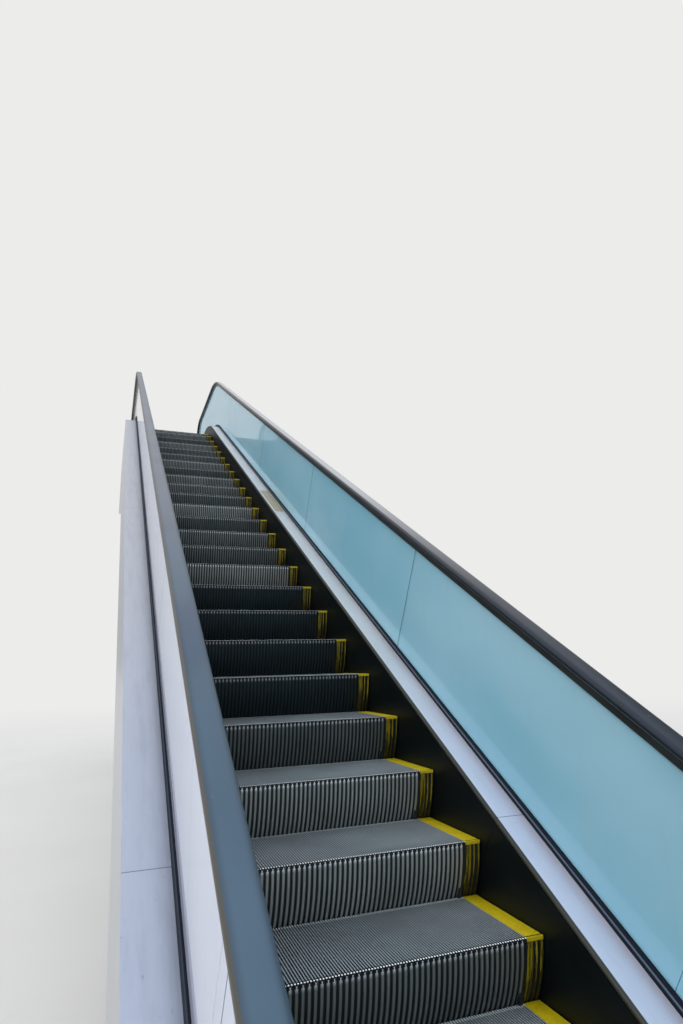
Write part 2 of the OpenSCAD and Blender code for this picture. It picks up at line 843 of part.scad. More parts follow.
module glass_clamp_right() {
    clamp_joint = 1;
    color("slategray") side_plate(glass_x - clamp_w / 2, clamp_w) above(pan_t + seat) difference() {
        band(clamp_base + seat, gasket_base - seat, newel_low_y + cowl_l, newel_up_y - cowl_l);
        level_cut(bend_in(nose_path)[0], clamp_joint);
        slope_cut(bay_first, clamp_joint);
        slope_cut(bay_last, clamp_joint);
        level_cut(crest_out(nose_path)[0], clamp_joint);
    }
}

module glass_clamp_left() {
    mirror([1, 0, 0]) glass_clamp_right();
}

module glass_gasket_right() {
    slot = glass_t / 2 + seat;
    color("#1b2230")
        full_run(nose_path, newel_low_y + cowl_l, newel_up_y - cowl_l, [])
            translate([glass_x, 0]) difference() {
                translate([-gasket_w / 2, gasket_base]) square([gasket_w, gasket_h - gasket_base]);
                translate([-slot, gasket_base + gasket_floor]) square([2 * slot, gasket_h]);
            }
}

module glass_gasket_left() {
    mirror([1, 0, 0]) glass_gasket_right();
}

module newel_disc(y, z) {
    translate([y, z]) circle(newel_r - glass_top, $fn = bend_fn);
}

// Side view of the inlet cowl at the lower newel, from its front face
module cowl_side() {
    nose = 40;
    hull() {
        translate([nose, cowl_top - nose]) circle(nose, $fn = 32);
        translate([0, inlet_z]) square([cowl_l - inlet_clear - seat, 1]);
        translate([cowl_l - inlet_clear - seat - 1, inlet_z]) square([1, tread_z + deck_h - inlet_z]);
    }
}

module glass_side() {
    past_bend = 60;
    front_cut = newel_z - newel_r + glass_top;
    difference() {
        union() {
            between(shifted(nose_path, glass_base), shifted(rail_path, -glass_top),
                newel_low_y, newel_up_y);
            newel_disc(newel_low_y, newel_z);
            newel_disc(newel_up_y, newel_z + rise);
        }
        translate([newel_low_y + inlet_clear - seat, 0]) square([cowl_l, cowl_top + seat]);
        translate([newel_up_y - inlet_clear + seat - cowl_l, rise]) square([cowl_l, cowl_top + seat]);
        translate([newel_low_y - seat, 0]) square([inlet_clear + seat, front_cut]);
        translate([newel_up_y - inlet_clear, rise]) square([inlet_clear + seat, front_cut]);
        for (u = glass_cuts) slope_cut(u, glass_gap);
        level_cut(bend_in(nose_path)[0] - past_bend, glass_gap);
        level_cut(crest_out(nose_path)[0] + past_bend, glass_gap);
    }
}

module glass_right() {
    color("lightblue", 0.5) side_plate(glass_x - glass_t / 2, glass_t) glass_side();
}

module glass_left() {
    mirror([1, 0, 0]) glass_right();
}

// How far the handrail and its guide run back into the inlets
rail_return = 150;
guide_return = 120;

// A section run along the handrail's way, round both newels and into the inlets
module rail_run(return_l) {
    full_run(rail_path, newel_low_y + seat, newel_up_y - seat, []) children();
    translate([0, newel_low_y, newel_z]) rotate([90, 0, 90]) rotate([0, 0, 90])
        rotate_extrude(angle = 180, $fn = 180) translate([newel_r, 0]) mirror([1, -1, 0]) children();
    translate([0, newel_up_y, newel_z + rise]) rotate([90, 0, 90]) rotate([0, 0, -90])
        rotate_extrude(angle = 180, $fn = 180) translate([newel_r, 0]) mirror([1, -1, 0]) children();
    translate([0, 0, newel_z - newel_r]) mirror([0, 0, 1])
        level_run(newel_low_y + seat, newel_low_y + return_l, 0) children();
    translate([0, 0, newel_z - newel_r + rise]) mirror([0, 0, 1])
        level_run(newel_up_y - return_l, newel_up_y - seat, 0) children();
}

module rail_section() {
    bead = rail_d / 2;
    mouth = 2;
    lap = 1;
    translate([glass_x, 0]) difference() {
        union() {
            for (s = [-1, 1]) translate([s * (rail_w / 2 - bead), -bead]) circle(bead);
            translate([-rail_w / 2 + bead, -rail_d]) square([rail_w - rail_d, rail_d]);
        }
        translate([-rail_w / 2 + rail_wall, -rail_d + rail_wall])
            square([rail_w - 2 * rail_wall, rail_d - 2 * rail_wall]);
        translate([-guide_neck / 2 - mouth, -rail_d]) square([guide_neck + 2 * mouth, rail_wall + lap]);
    }
}

module handrail_right() {
    color("#15171c") rail_run(rail_return) rail_section();
}

module handrail_left() {
    mirror([1, 0, 0]) handrail_right();
}

module guide_section() {
    side_clear = 2;
    flange = rail_w - 2 * rail_wall - 2 * side_clear;
    slot = glass_t / 2 + seat;
    translate([glass_x, 0]) difference() {
        union() {
            translate([-flange / 2, -rail_wall - guide_web - seat]) square([flange, guide_web]);
            translate([-guide_neck / 2, -rail_d - guide_web])
                square([guide_neck, rail_d + guide_web - rail_wall - seat]);
            translate([-guide_w / 2, -rail_d - guide_d]) square([guide_w, guide_d]);
        }
        translate([-slot, -rail_d - guide_d]) square([2 * slot, glass_grip + seat]);
    }
}

module handrail_guide_right() {
    color("gray") rail_run(guide_return) guide_section();
}

module handrail_guide_left() {
    mirror([1, 0, 0]) handrail_guide_right();
}

// Housing at a newel's foot: the deck's end block with the cowl that takes the handrail in
module inlet() {
    cowl_w = 130;
    mouth = 3;
    pocket_l = rail_return + 50;
    difference() {
        union() {
            translate([skirt_x + skirt_t + seat, inlet_clear, inlet_z])
                cube([side_x - skirt_x - skirt_t - 2 * seat, cowl_l - inlet_clear - seat,
                    tread_z + outer_deck_h - inlet_z]);
            translate([0, inlet_clear, 0]) side_plate(glass_x - cowl_w / 2, cowl_w) cowl_side();
        }
        translate([glass_x - rail_w / 2 - mouth, 0, newel_z - newel_r - mouth])
            cube([rail_w + 2 * mouth, pocket_l, rail_d + guide_d + 2 * mouth]);
    }
}

module inlet_pair() {
    color("#2a2c30") {
        inlet();
        mirror([1, 0, 0]) inlet();
    }
}

module handrail_inlets_lower() {
    translate([0, newel_low_y, 0]) inlet_pair();
}

module handrail_inlets_upper() {
    translate([0, newel_up_y, rise]) mirror([0, 1, 0]) inlet_pair();
}

lower_base_pan();
lower_landing_frame();
lower_floor_plates();
lower_comb_plate();
lower_comb();
upper_landing_frame();
upper_floor_plates();
upper_comb_plate();
upper_comb();
upper_end_frame();
steps_lower_landing();
steps_flight(1);  // steps_flight_1
steps_flight(2);  // steps_flight_2
steps_flight(3);  // steps_flight_3
steps_flight(4);  // steps_flight_4
steps_flight(5);  // steps_flight_5
steps_upper_landing();
yellow_edges_left();
yellow_edges_right();
step_tracks();
truss_left();
truss_right();
cross_beams();
skirt_left();
skirt_right();
inner_deck_left();
inner_deck_right();
outer_deck_left();
outer_deck_right();
glass_clamp_left();
glass_clamp_right();
glass_gasket_left();
glass_gasket_right();
glass_left();
glass_right();
handrail_guide_left();
handrail_guide_right();
handrail_left();
handrail_right();
handrail_inlets_lower();
handrail_inlets_upper();
side_cladding_left();
side_cladding_right();
soffit_panels();
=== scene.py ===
# %% [markdown]
# # Dressing an escalator
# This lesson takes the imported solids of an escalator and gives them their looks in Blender:
# ribbed black steps, tinted glass, rubber handrails and brushed steel decks.
# The frame comes first. It is the CAD model, in metres, with +Z up and the flight climbing
# towards +Y. Every new piece is made in that same frame, so nothing has to be fitted later.

# %% Load the frame
from math import asin, cos, pi, radians, sin, tan

import bmesh
import bpy
from mathutils import Matrix, Vector


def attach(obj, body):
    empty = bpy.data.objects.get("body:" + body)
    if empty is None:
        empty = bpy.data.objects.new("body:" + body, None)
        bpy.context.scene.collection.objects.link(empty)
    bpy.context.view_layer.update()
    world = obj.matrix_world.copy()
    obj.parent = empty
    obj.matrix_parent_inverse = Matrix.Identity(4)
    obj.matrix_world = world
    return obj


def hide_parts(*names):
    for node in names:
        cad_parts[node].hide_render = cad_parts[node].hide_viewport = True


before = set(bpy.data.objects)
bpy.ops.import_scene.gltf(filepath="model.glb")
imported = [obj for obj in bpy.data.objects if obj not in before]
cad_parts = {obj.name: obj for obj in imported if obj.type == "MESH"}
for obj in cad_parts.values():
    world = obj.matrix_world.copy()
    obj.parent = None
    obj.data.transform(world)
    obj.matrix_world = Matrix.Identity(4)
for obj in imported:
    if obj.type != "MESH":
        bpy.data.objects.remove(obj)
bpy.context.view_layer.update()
print("CAD nodes:", len(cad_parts))

# %% [markdown]
# ## The line of the flight
# An escalator is drawn round one line in side view: the line through the step noses. It runs
# level, bends up with a large radius, climbs at 30 degrees, and bends back to level. Skirts,
# decks, gaskets and handrails all follow it, so its numbers are written once, and two small
# tools give the way of a handrail and the place of each step's nose.

# %% Numbers of the flight, in metres and radians
RISE = 5.400
INCLINE = radians(30)
BEND, BEND_STEPS = 1.500, 12
LEVEL = 0.900
TREAD_Z = 0.080
PITCH = 0.405
FIRST_NOSE = 0.293
HALF_TAN = tan(INCLINE / 2)
SLOPE_RUN = RISE / tan(INCLINE)
COMB_LOW_Y = -BEND * HALF_TAN - LEVEL
COMB_UP_Y = SLOPE_RUN + BEND * HALF_TAN + LEVEL
UP_SLOPE = Vector((0, cos(INCLINE), sin(INCLINE)))
print("combs at y =", round(COMB_LOW_Y, 4), "and", round(COMB_UP_Y, 4))


# %% A line that follows the flight
class Line:
    """A side-view line: its two corners, and the radii of its two bends."""

    def __init__(self, low, up, low_radius, up_radius):
        self.low, self.up = low, up
        self.low_radius, self.up_radius = low_radius, up_radius

    def moves(self, y_start, y_end):
        """The way along the line, as straight moves and turns for a swept section."""
        low_in = self.low[0] - self.low_radius * HALF_TAN
        up_out = self.up[0] + self.up_radius * HALF_TAN
        reach = (self.up[1] - self.low[1]) / sin(INCLINE)
        climb = reach - (self.low_radius + self.up_radius) * HALF_TAN
        return [
            ("go", (0, low_in - y_start, 0)),
            ("turn", (0, low_in, self.low[1] + self.low_radius), INCLINE, BEND_STEPS),
            ("go", UP_SLOPE * climb),
            ("turn", (0, up_out, self.up[1] - self.up_radius), -INCLINE, BEND_STEPS),
            ("go", (0, y_end - up_out, 0))]


low_arc = BEND * INCLINE
climb_length = RISE / sin(INCLINE) - 2 * BEND * HALF_TAN
whole_length = 2 * LEVEL + 2 * low_arc + climb_length
print("nosing line:", round(whole_length, 3), "m")


# %% Where a step's nose is, at a distance along the line
def nose_at(s):
    low_in, up_out = -BEND * HALF_TAN, SLOPE_RUN + BEND * HALF_TAN
    if s < LEVEL:
        return Vector((0, COMB_LOW_Y + s, TREAD_Z))
    if s < LEVEL + low_arc:
        a = (s - LEVEL) / BEND
        return Vector((0, low_in + BEND * sin(a), TREAD_Z + BEND * (1 - cos(a))))
    past = s - LEVEL - low_arc
    if past < climb_length:
        run = BEND * HALF_TAN
        start = Vector((0, run * cos(INCLINE), TREAD_Z + run * sin(INCLINE)))
        return start + UP_SLOPE * past
    past -= climb_length
    if past < low_arc:
        a = INCLINE - past / BEND
        return Vector((0, up_out - BEND * sin(a), TREAD_Z + RISE - BEND * (1 - cos(a))))
    return Vector((0, COMB_UP_Y + s - whole_length, TREAD_Z + RISE))


STEP_COUNT = int((whole_length - FIRST_NOSE) / PITCH) + 2
step_noses = [nose_at(FIRST_NOSE - PITCH + i * PITCH) for i in range(STEP_COUNT)]
print("steps:", STEP_COUNT)


# %% [markdown]
# ## Small helpers for meshes
# A mesh is made in a bmesh, with operators, and is turned into an object at the end. Each
# helper below does one thing that several pieces need. The object always stays at the origin,
# so its place is in its mesh, as it is for the CAD nodes.

# %% From a bmesh to a piece that rides on the frame
def mesh_from(bm, name):
    """The bmesh as a mesh. The bmesh itself is let go."""
    mesh = bpy.data.meshes.new(name)
    bm.to_mesh(mesh)
    bm.free()
    return mesh


def keep(bm, name, finish, stands_for=(), smooth_below=None):
    """Turn the bmesh into an object, let it ride, and hide the CAD nodes that it stands for."""
    mesh = mesh_from(bm, name)
    mesh.materials.append(finish)
    if smooth_below is not None:
        mesh.shade_smooth()
        mesh.set_sharp_from_angle(angle=radians(smooth_below))
    piece = bpy.data.objects.new(name, mesh)
    bpy.context.scene.collection.objects.link(piece)
    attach(piece, "root")
    if stands_for:
        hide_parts(*stands_for)
    print(f"{name}: {sum(len(face.vertices) - 2 for face in mesh.polygons)} triangles")


# %% A flat face from its corners, and a section swept along a way
def flat_face(bm, corners):
    return bm.faces.new([bm.verts.new(corner) for corner in corners])


def verts_of(geometry):
    return [item for item in geometry if isinstance(item, bmesh.types.BMVert)]


def faces_of(geometry):
    return [item for item in geometry if isinstance(item, bmesh.types.BMFace)]


def sweep(bm, face, way):
    """Run a face along straight moves and turns about the X axis. It leaves a closed solid."""
    end = [face]
    for kind, place, *turn in way:
        if kind == "go":
            made = bmesh.ops.extrude_face_region(bm, geom=end)["geom"]
            bmesh.ops.translate(bm, verts=verts_of(made), vec=place)
            end = faces_of(made)
        else:
            angle, steps = turn
            made = bmesh.ops.spin(
                bm, geom=end, cent=place, axis=(1, 0, 0), angle=angle, steps=steps)["geom_last"]
            end = faces_of(made)
    bmesh.ops.recalc_face_normals(bm, faces=bm.faces)


def block(bm, low, high):
    """A box between two corners."""
    low, high = Vector(low), Vector(high)
    place = Matrix.Translation((low + high) / 2) @ Matrix.Diagonal((*(high - low), 1))
    return bmesh.ops.create_cube(bm, size=1, matrix=place)["verts"]


# %% Mirror images, rounded corners and softened edges
ACROSS_X, ACROSS_Y = (-1, 1, 1), (1, -1, 1)


def flip(bm, across, verts=None, faces=None):
    """Mirror what is given, or all there is, and turn its faces right side out again."""
    bmesh.ops.scale(bm, verts=verts or bm.verts, vec=across)
    bmesh.ops.reverse_faces(bm, faces=faces or bm.faces)


def doubled(bm, across=ACROSS_X):
    """Add a mirror image of all there is, and give the image's corners."""
    geometry = bm.verts[:] + bm.edges[:] + bm.faces[:]
    image = bmesh.ops.duplicate(bm, geom=geometry)["geom"]
    flip(bm, across, verts_of(image), faces_of(image))
    return verts_of(image)


def round_off(bm, face, corners):
    """Round corners of a flat face, given as (which ones, radius, segments)."""
    verts = list(face.verts)
    for picks, radius, segments in corners:
        bmesh.ops.bevel(bm, geom=[verts[i] for i in picks], offset=radius, segments=segments,
                        profile=0.5, affect="VERTICES", material=-1)


def soften(bm, edges, radius, segments):
    return bmesh.ops.bevel(bm, geom=edges, offset=radius, segments=segments, profile=0.5,
                           affect="EDGES", material=-1)["faces"]


def edges_at(verts, test):
    """The edges on these corners that pass a test of their two ends."""
    return [e for e in {e for v in verts for e in v.link_edges} if test(*e.verts)]


# %% [markdown]
# ## Node maths written as Python
# A material is a net of nodes. Written by hand it is long, so one small class wraps a socket:
# adding, multiplying or comparing two wrapped values adds the Math node that does it. A second
# class holds the net and adds any other node by its type, its settings and its inputs. The
# materials and the world are both such nets.

# %% A wrapped socket
class Wire:
    def __init__(self, net, socket):
        self.net, self.socket = net, socket

    def math(self, operation, *others):
        return self.net.node("ShaderNodeMath", {"operation": operation}, [self, *others])

    def __add__(self, other):
        return self.math("ADD", other)

    def __mul__(self, other):
        return self.math("MULTIPLY", other)

    def __sub__(self, other):
        return self.math("SUBTRACT", other)

    def __rsub__(self, other):
        return self.net.node("ShaderNodeMath", {"operation": "SUBTRACT"}, [other, self])

    def __truediv__(self, other):
        return self.math("DIVIDE", other)

    def __pow__(self, other):
        return self.math("POWER", other)

    def __gt__(self, other):
        return self.math("GREATER_THAN", other)

    def __lt__(self, other):
        return self.math("LESS_THAN", other)

    def __abs__(self):
        return self.math("ABSOLUTE")

    def at_most_one(self):
        return self.math("MINIMUM", 1.0)

    __radd__, __rmul__ = __add__, __mul__


# %% A net that grows node by node
class Net:
    def __init__(self, tree):
        self.tree = tree

    def plug(self, socket, value):
        if isinstance(value, Wire):
            self.tree.links.new(value.socket, socket)
        elif isinstance(value, tuple) and socket.type == "RGBA":
            socket.default_value = (*value, 1)
        else:
            socket.default_value = value

    def node(self, kind, settings, sockets, out=0):
        """Add a node: its settings first, then its sockets by place or by name."""
        made = self.tree.nodes.new(kind)
        for key, value in settings.items():
            setattr(made, key, value)
        pairs = enumerate(sockets) if isinstance(sockets, list) else sockets.items()
        for key, value in pairs:
            self.plug(made.inputs[key], value)
        return Wire(self, made.outputs[out])

    def place(self, kind="Object"):
        """The point on a piece, in metres, in the frame's own axes. In the world it is
        asked for as Generated, and is the way that a ray goes."""
        return self.node("ShaderNodeTexCoord", {}, [], kind)

    def parts(self, vector):
        split = self.node("ShaderNodeSeparateXYZ", {}, [vector])
        outputs = split.socket.node.outputs
        return [Wire(self, outputs[i]) for i in range(3)]

    def vector(self, x, y, z):
        return self.node("ShaderNodeCombineXYZ", {}, [x, y, z])

    def noise(self, vector, scale, detail=3.0, roughness=0.5):
        return self.node("ShaderNodeTexNoise", {}, {
            "Vector": vector, "Scale": scale, "Detail": detail, "Roughness": roughness})

    def band(self, value, low, high):
        """0 below low, 1 above high, smooth between."""
        return self.node("ShaderNodeMapRange", {"interpolation_type": "SMOOTHSTEP"}, {
            "Value": value, "From Min": low, "From Max": high})

    def mix(self, factor, first, second):
        return self.node("ShaderNodeMix", {"data_type": "RGBA"}, {
            0: factor, 6: first, 7: second}, 2)

    def attribute(self, name):
        return self.node("ShaderNodeAttribute", {"attribute_name": name}, [], "Fac")

    def ray(self, kind):
        """1 for one kind of ray and 0 for all others."""
        return self.node("ShaderNodeLightPath", {}, [], kind)

    def bump(self, height, depth):
        """Depth is how far a height of 1 stands out, in metres."""
        return self.node("ShaderNodeBump", {}, {
            "Height": height, "Distance": depth, "Strength": 1.0})


# %% A material: a net with one shader
class Finish(Net):
    def __init__(self, name):
        self.material = bpy.data.materials.new(name)
        self.material.use_nodes = True
        super().__init__(self.material.node_tree)
        self.shader = self.tree.nodes["Principled BSDF"]

    def done(self, **sockets):
        for name, value in sockets.items():
            self.plug(self.shader.inputs[name.replace("_", " ")], value)
        return self.material


# %% [markdown]
# ## Coordinates along the flight
# The sheet metal is brushed along the flight, so its patterns need the distance up the slope
# and the height over the nosing line. On the slope both are plain sums of Y and Z. On the
# landings the height is the plain height over the treads there, so the middle one of the
# three heights is the right one everywhere.

# %% Slope coordinates inside a material
def along_and_over(finish):
    """X, the distance up the slope, and the height over the nosing line."""
    x, y, z = finish.parts(finish.place())
    climb = z - TREAD_Z
    along = y * cos(INCLINE) + climb * sin(INCLINE)
    slope = climb * cos(INCLINE) - y * sin(INCLINE)
    return x, along, climb.math("MINIMUM", slope).math("MAXIMUM", climb - RISE)


def seam(along, first, spacing, width):
    """1 on a thin line across the flight, once in every spacing."""
    turn = (along - first) / spacing + 0.5
    off = abs(turn.math("FRACT") - 0.5) * spacing
    return off < width / 2


# %% [markdown]
# ## Sheet metal
# The decks are stainless sheet with a fine lengthwise brush, handled and wiped every day. The
# brush is a noise that is stretched thousands of times along the flight. A second, slow noise
# changes the roughness as smears do, and specks of dirt lie on it. The sheets butt in thin dark
# joints. The decks on the right carry a painted reflection, lighter and more lavender than the
# left, and further up both sides carry a painted warm reflection. On the inner deck the edge
# beside the steps is rolled down, and is coloured dark olive-grey there.

# %% Brushed deck steel
DECK_JOINT, DECK_SHEET = 1.800, 3.900


def deck_steel():
    f = Finish("deck_steel")
    x, along, over = along_and_over(f)
    side, right = abs(x), x > 0
    lines = f.noise(f.vector(x * 700, along * 0.6, 0), 1, 2)
    coarse = f.noise(f.vector(x * 130, along * 0.9, 0), 1, 2)
    smears = f.noise(f.vector(x * 7, along * 2.2, over * 2), 1, 5, 0.65)
    spots = f.noise(f.vector(x * 60, along * 40, 0), 1, 3, 0.7)
    mottle = f.noise(f.vector(x * 24, along * 3, over), 1, 4, 0.65)
    dull = f.mix(smears, (0.54, 0.60, 0.72), (0.72, 0.77, 0.86))
    # painted reflection: the left decks turn lighter and warmer further up the flight
    dull = f.mix(f.band(along, 1.5, 4.5) * 0.6, dull, (0.76, 0.75, 0.73))
    waves = f.noise(f.vector(x * 1.5, along * 1.6, 0), 1, 2)
    # painted reflection: the right decks get a lighter, more lavender tone than the left, and a
    # warm wavy sheen further up
    right_painted_reflection = f.mix(smears, (0.72, 0.74, 0.94), (0.84, 0.85, 0.99))
    warm_painted_reflection = f.mix(waves, (0.60, 0.59, 0.57), (0.90, 0.89, 0.86))
    right_painted_reflection = f.mix(f.band(along, 1.7, 3.6) * 0.9, right_painted_reflection, warm_painted_reflection)
    tone = f.mix(lines * 0.35 + coarse * 0.25, f.mix(right, dull, right_painted_reflection), (0.76, 0.80, 0.88))
    tone = f.mix(f.band(mottle, 0.45, 0.70) * (0.16 - right * 0.08), tone, (0.34, 0.38, 0.47))
    tone = f.mix(f.band(spots, 0.64, 0.72) * 0.3, tone, (0.26, 0.27, 0.28))
    # the rolled-down edge beside the steps is coloured dark olive-grey
    rolled = 1 - f.band(side, 0.515, 0.519)
    tone = f.mix(rolled, tone, (0.075, 0.075, 0.062))
    tone = f.mix(seam(along, DECK_JOINT, DECK_SHEET, 0.0022) * 0.85, tone, (0.03, 0.03, 0.03))
    return f.done(
        Base_Color=tone, Metallic=0.92 - right * 0.3,
        Roughness=0.34 + smears * 0.20 + lines * 0.08 + rolled * 0.1,
        Normal=f.bump(lines * 0.7 + coarse * 0.3 + smears * 0.5, 0.00008))


# %% Brushed cladding
def cladding_steel():
    f = Finish("cladding_steel")
    x, along, over = along_and_over(f)
    lines = f.noise(f.vector(along * 0.4, over * 700, x * 3), 1, 2)
    waves = f.noise(f.vector(along * 30, over * 300, x), 1, 2)
    smears = f.noise(f.vector(along * 1.2, over * 5, x), 1, 4, 0.55)
    tone = f.mix(lines * 0.5 + smears * 0.2, (0.58, 0.60, 0.63), (0.72, 0.74, 0.77))
    return f.done(
        Base_Color=tone, Metallic=0.95, Roughness=0.24 + smears * 0.10 + lines * 0.06,
        Normal=f.bump(lines * 0.3 + waves, 0.00006))


# %% Black skirts
def skirt_black():
    f = Finish("skirt_black")
    x, along, over = along_and_over(f)
    scuffs = f.noise(f.vector(along * 2, over * 60, x), 1, 4, 0.6)
    dust = f.noise(f.vector(along * 14, over * 14, x), 1, 5, 0.6)
    tone = f.mix(f.band(scuffs, 0.5, 0.75) * 0.5, (0.0025, 0.005, 0.006), (0.010, 0.015, 0.017))
    tone = f.mix(f.band(dust, 0.55, 0.8) * 0.3, tone, (0.016, 0.020, 0.021))
    return f.done(Base_Color=tone, Roughness=0.34 + scuffs * 0.22, Specular_IOR_Level=0.25,
                  Normal=f.bump(scuffs, 0.00005))


deck_finish, cladding_finish, skirt_finish = deck_steel(), cladding_steel(), skirt_black()
print("sheet finishes:", deck_finish.name, cladding_finish.name, skirt_finish.name)

# %% [markdown]
# ## Rubber, plastic and painted steel
# The handrail is black rubber, rubbed glossy by hands: dark, with a soft blue sheen from the
# sky painted into its colour, and a little dust. More light is painted into it: it turns lighter
# further up the flight, the right rail is painted in shade with a painted highlight on its top
# far up, and the sides of its top are painted darker. The gasket is softer and matt. The trim
# at the newels is grained plastic. Under the cladding everything is rolled steel with satin grey
# paint.

# %% Handrail rubber
GLASS_X = 0.640


def rail_rubber():
    f = Finish("rail_rubber")
    place = f.place()
    x, along, over = along_and_over(f)
    wiped = f.noise(place, 3.5, 4, 0.6)
    patches = f.noise(f.vector(x * 3, along * 1.3, over), 1, 2)
    grain = f.noise(place, 900, 2)
    specks = f.noise(place, 60, 2, 0.6)
    # painted sheen: the blue of the sky is painted into the rubber's tone
    tone = f.mix(wiped, (0.032, 0.066, 0.104), (0.050, 0.096, 0.146))
    tone = f.mix(f.band(patches, 0.45, 0.62) * 0.5, tone, (0.020, 0.040, 0.085))
    # painted reflection: lighter and greyer further up the flight
    tone = f.mix(f.band(along, 1.6, 4.0) * 0.6, tone, (0.15, 0.16, 0.19))
    # painted shade: the right rail is made far darker than the left
    right = x > 0
    tone = f.mix(right * 0.90, tone, (0.003, 0.005, 0.009))
    # painted highlight along the right rail's top, far up the flight
    painted_highlight = right * f.band(along, 2.2, 4.5) * (f.attribute("depth") < 0.0028)
    tone = f.mix(painted_highlight * 0.8, tone, (0.42, 0.44, 0.48))
    # painted shade on both sides of the top, away from its centre line
    off_centre = abs(abs(x) - GLASS_X)
    tone = f.mix(f.band(off_centre, 0.018, 0.036) * 0.45, tone, (0.008, 0.014, 0.024))
    # the left rail's outer shoulder is coloured olive-grey, on this side only
    shoulder = f.band(f.attribute("depth"), 0.0030, 0.0055) * (x < -GLASS_X)
    tone = f.mix(shoulder * 0.9, tone, (0.060, 0.055, 0.042))
    tone = f.mix(f.band(specks, 0.70, 0.80) * 0.6, tone, (0.16, 0.20, 0.26))
    return f.done(Base_Color=tone, Roughness=0.30 + wiped * 0.14 - right * 0.07,
                  Specular_IOR_Level=0.6, Normal=f.bump(grain, 0.00004))


# %% Gasket, guide, cowl and painted steel
def gasket_rubber():
    f = Finish("gasket_rubber")
    x, along, over = along_and_over(f)
    dust = f.noise(f.vector(x * 30, along * 6, over * 90), 1, 4, 0.6)
    tone = f.mix(f.band(dust, 0.45, 0.8), (0.0025, 0.006, 0.014), (0.007, 0.013, 0.024))
    # painted sheen: a lighter line along the gasket, stronger on the right
    lip_with_painted_sheen = f.band(over, 0.150, 0.152) * (1 - f.band(over, 0.158, 0.160))
    tone = f.mix(lip_with_painted_sheen * (0.4 + (x > 0) * 0.5), tone, (0.13, 0.18, 0.23))
    return f.done(Base_Color=tone, Roughness=0.6 + dust * 0.2, Specular_IOR_Level=0.3,
                  Normal=f.bump(lip_with_painted_sheen + dust * 0.1, 0.001))


def guide_metal():
    f = Finish("guide_metal")
    x, along, over = along_and_over(f)
    lines = f.noise(f.vector(x * 300, along * 0.5, over * 500), 1, 2)
    grime = f.noise(f.vector(x * 8, along * 5, over * 20), 1, 4, 0.6)
    tone = f.mix(grime, (0.055, 0.055, 0.048), (0.12, 0.12, 0.105))
    return f.done(Base_Color=tone, Metallic=0.8, Roughness=0.36 + grime * 0.2,
                  Normal=f.bump(lines, 0.00005))


def cowl_plastic():
    f = Finish("cowl_plastic")
    place = f.place()
    grain = f.noise(place, 520, 2)
    wear = f.noise(place, 9, 4, 0.6)
    tone = f.mix(wear, (0.014, 0.015, 0.017), (0.030, 0.031, 0.034))
    return f.done(Base_Color=tone, Roughness=0.46 + wear * 0.14, Normal=f.bump(grain, 0.00025))


def structure_paint():
    f = Finish("structure_paint")
    place = f.place()
    peel = f.noise(place, 140, 2)
    dust = f.noise(place, 2.2, 5, 0.6)
    tone = f.mix(dust, (0.16, 0.17, 0.19), (0.26, 0.28, 0.30))
    return f.done(Base_Color=tone, Roughness=0.45 + dust * 0.2, Normal=f.bump(peel, 0.0002))


rail_finish, gasket_finish = rail_rubber(), gasket_rubber()
guide_finish, cowl_finish, structure_finish = guide_metal(), cowl_plastic(), structure_paint()
print("rubber and paint:", rail_finish.name, gasket_finish.name, structure_finish.name)

# %% [markdown]
# ## Tinted glass
# The glass carries a film: from the steps it is a soft teal that hides what is behind it, and
# from a low angle its surface mirrors the pale hall. So the body has its own colour, it lets
# only a little through, and it is smooth. Faint wiping streaks break up the mirror. The film
# on the left is painted pale, a painted reflection of the pale hall, and leaves a greyer strip
# bare at its foot.

# %% Glass with a film
GLASS_JOINT, GLASS_SHEET = 3.050, 2.025


def film_glass(name, clear_below, film_low, film_high, strip):
    f = Finish(name)
    x, along, over = along_and_over(f)
    wiped = f.noise(f.vector(along * 1.1, over * 2.4, x), 1, 4, 0.6)
    upright = f.noise(f.vector(along * 14 - over * 8, over * 0.6, 0), 1, 3, 0.6)
    cloud = f.noise(f.vector(along * 0.45, over * 0.9, 3), 1, 3)
    tone = f.mix(f.band(cloud, 0.3, 0.7), film_low, film_high)
    tone = f.mix(f.band(upright, 0.45, 0.8) * 0.14, tone, (0.46, 0.62, 0.68))
    film = f.band(over, clear_below - 0.003, clear_below + 0.003)
    tone = f.mix(seam(along, GLASS_JOINT, GLASS_SHEET, 0.008) * 0.75, tone, (0.03, 0.07, 0.09))
    return f.done(
        Base_Color=f.mix(film, strip, tone),
        Alpha=0.76 + film * 0.12, Roughness=0.02 + wiped * 0.06, Specular_IOR_Level=0.4)


glass_right = film_glass("film_glass_right", 0.0, (0.29, 0.66, 0.82), (0.46, 0.79, 0.93),
                         (0.20, 0.48, 0.60))
# painted reflection: the left film is given a pale colour, where the right one is teal
glass_left = film_glass("film_glass_left", 0.255, (0.84, 0.87, 0.95), (0.90, 0.92, 0.97),
                        (0.58, 0.60, 0.74))
print("glass:", glass_right.name, glass_left.name)


# %% [markdown]
# ## Step metal
# A step is one casting, painted black, and feet wear the paint off the top of its cleats. The
# wear has to follow each step and each cleat, not the building, so the mesh carries three
# numbers at its corners: how high on a cleat a point is, how far it is from the nose, and how
# lit and worn its step is. That last number is painted light and shade from step to step, mixed
# with wear, so some steps and their rib crowns come out lighter and others darker.

# %% Black casting with worn cleats
TREAD_SEAM_X = 0.265


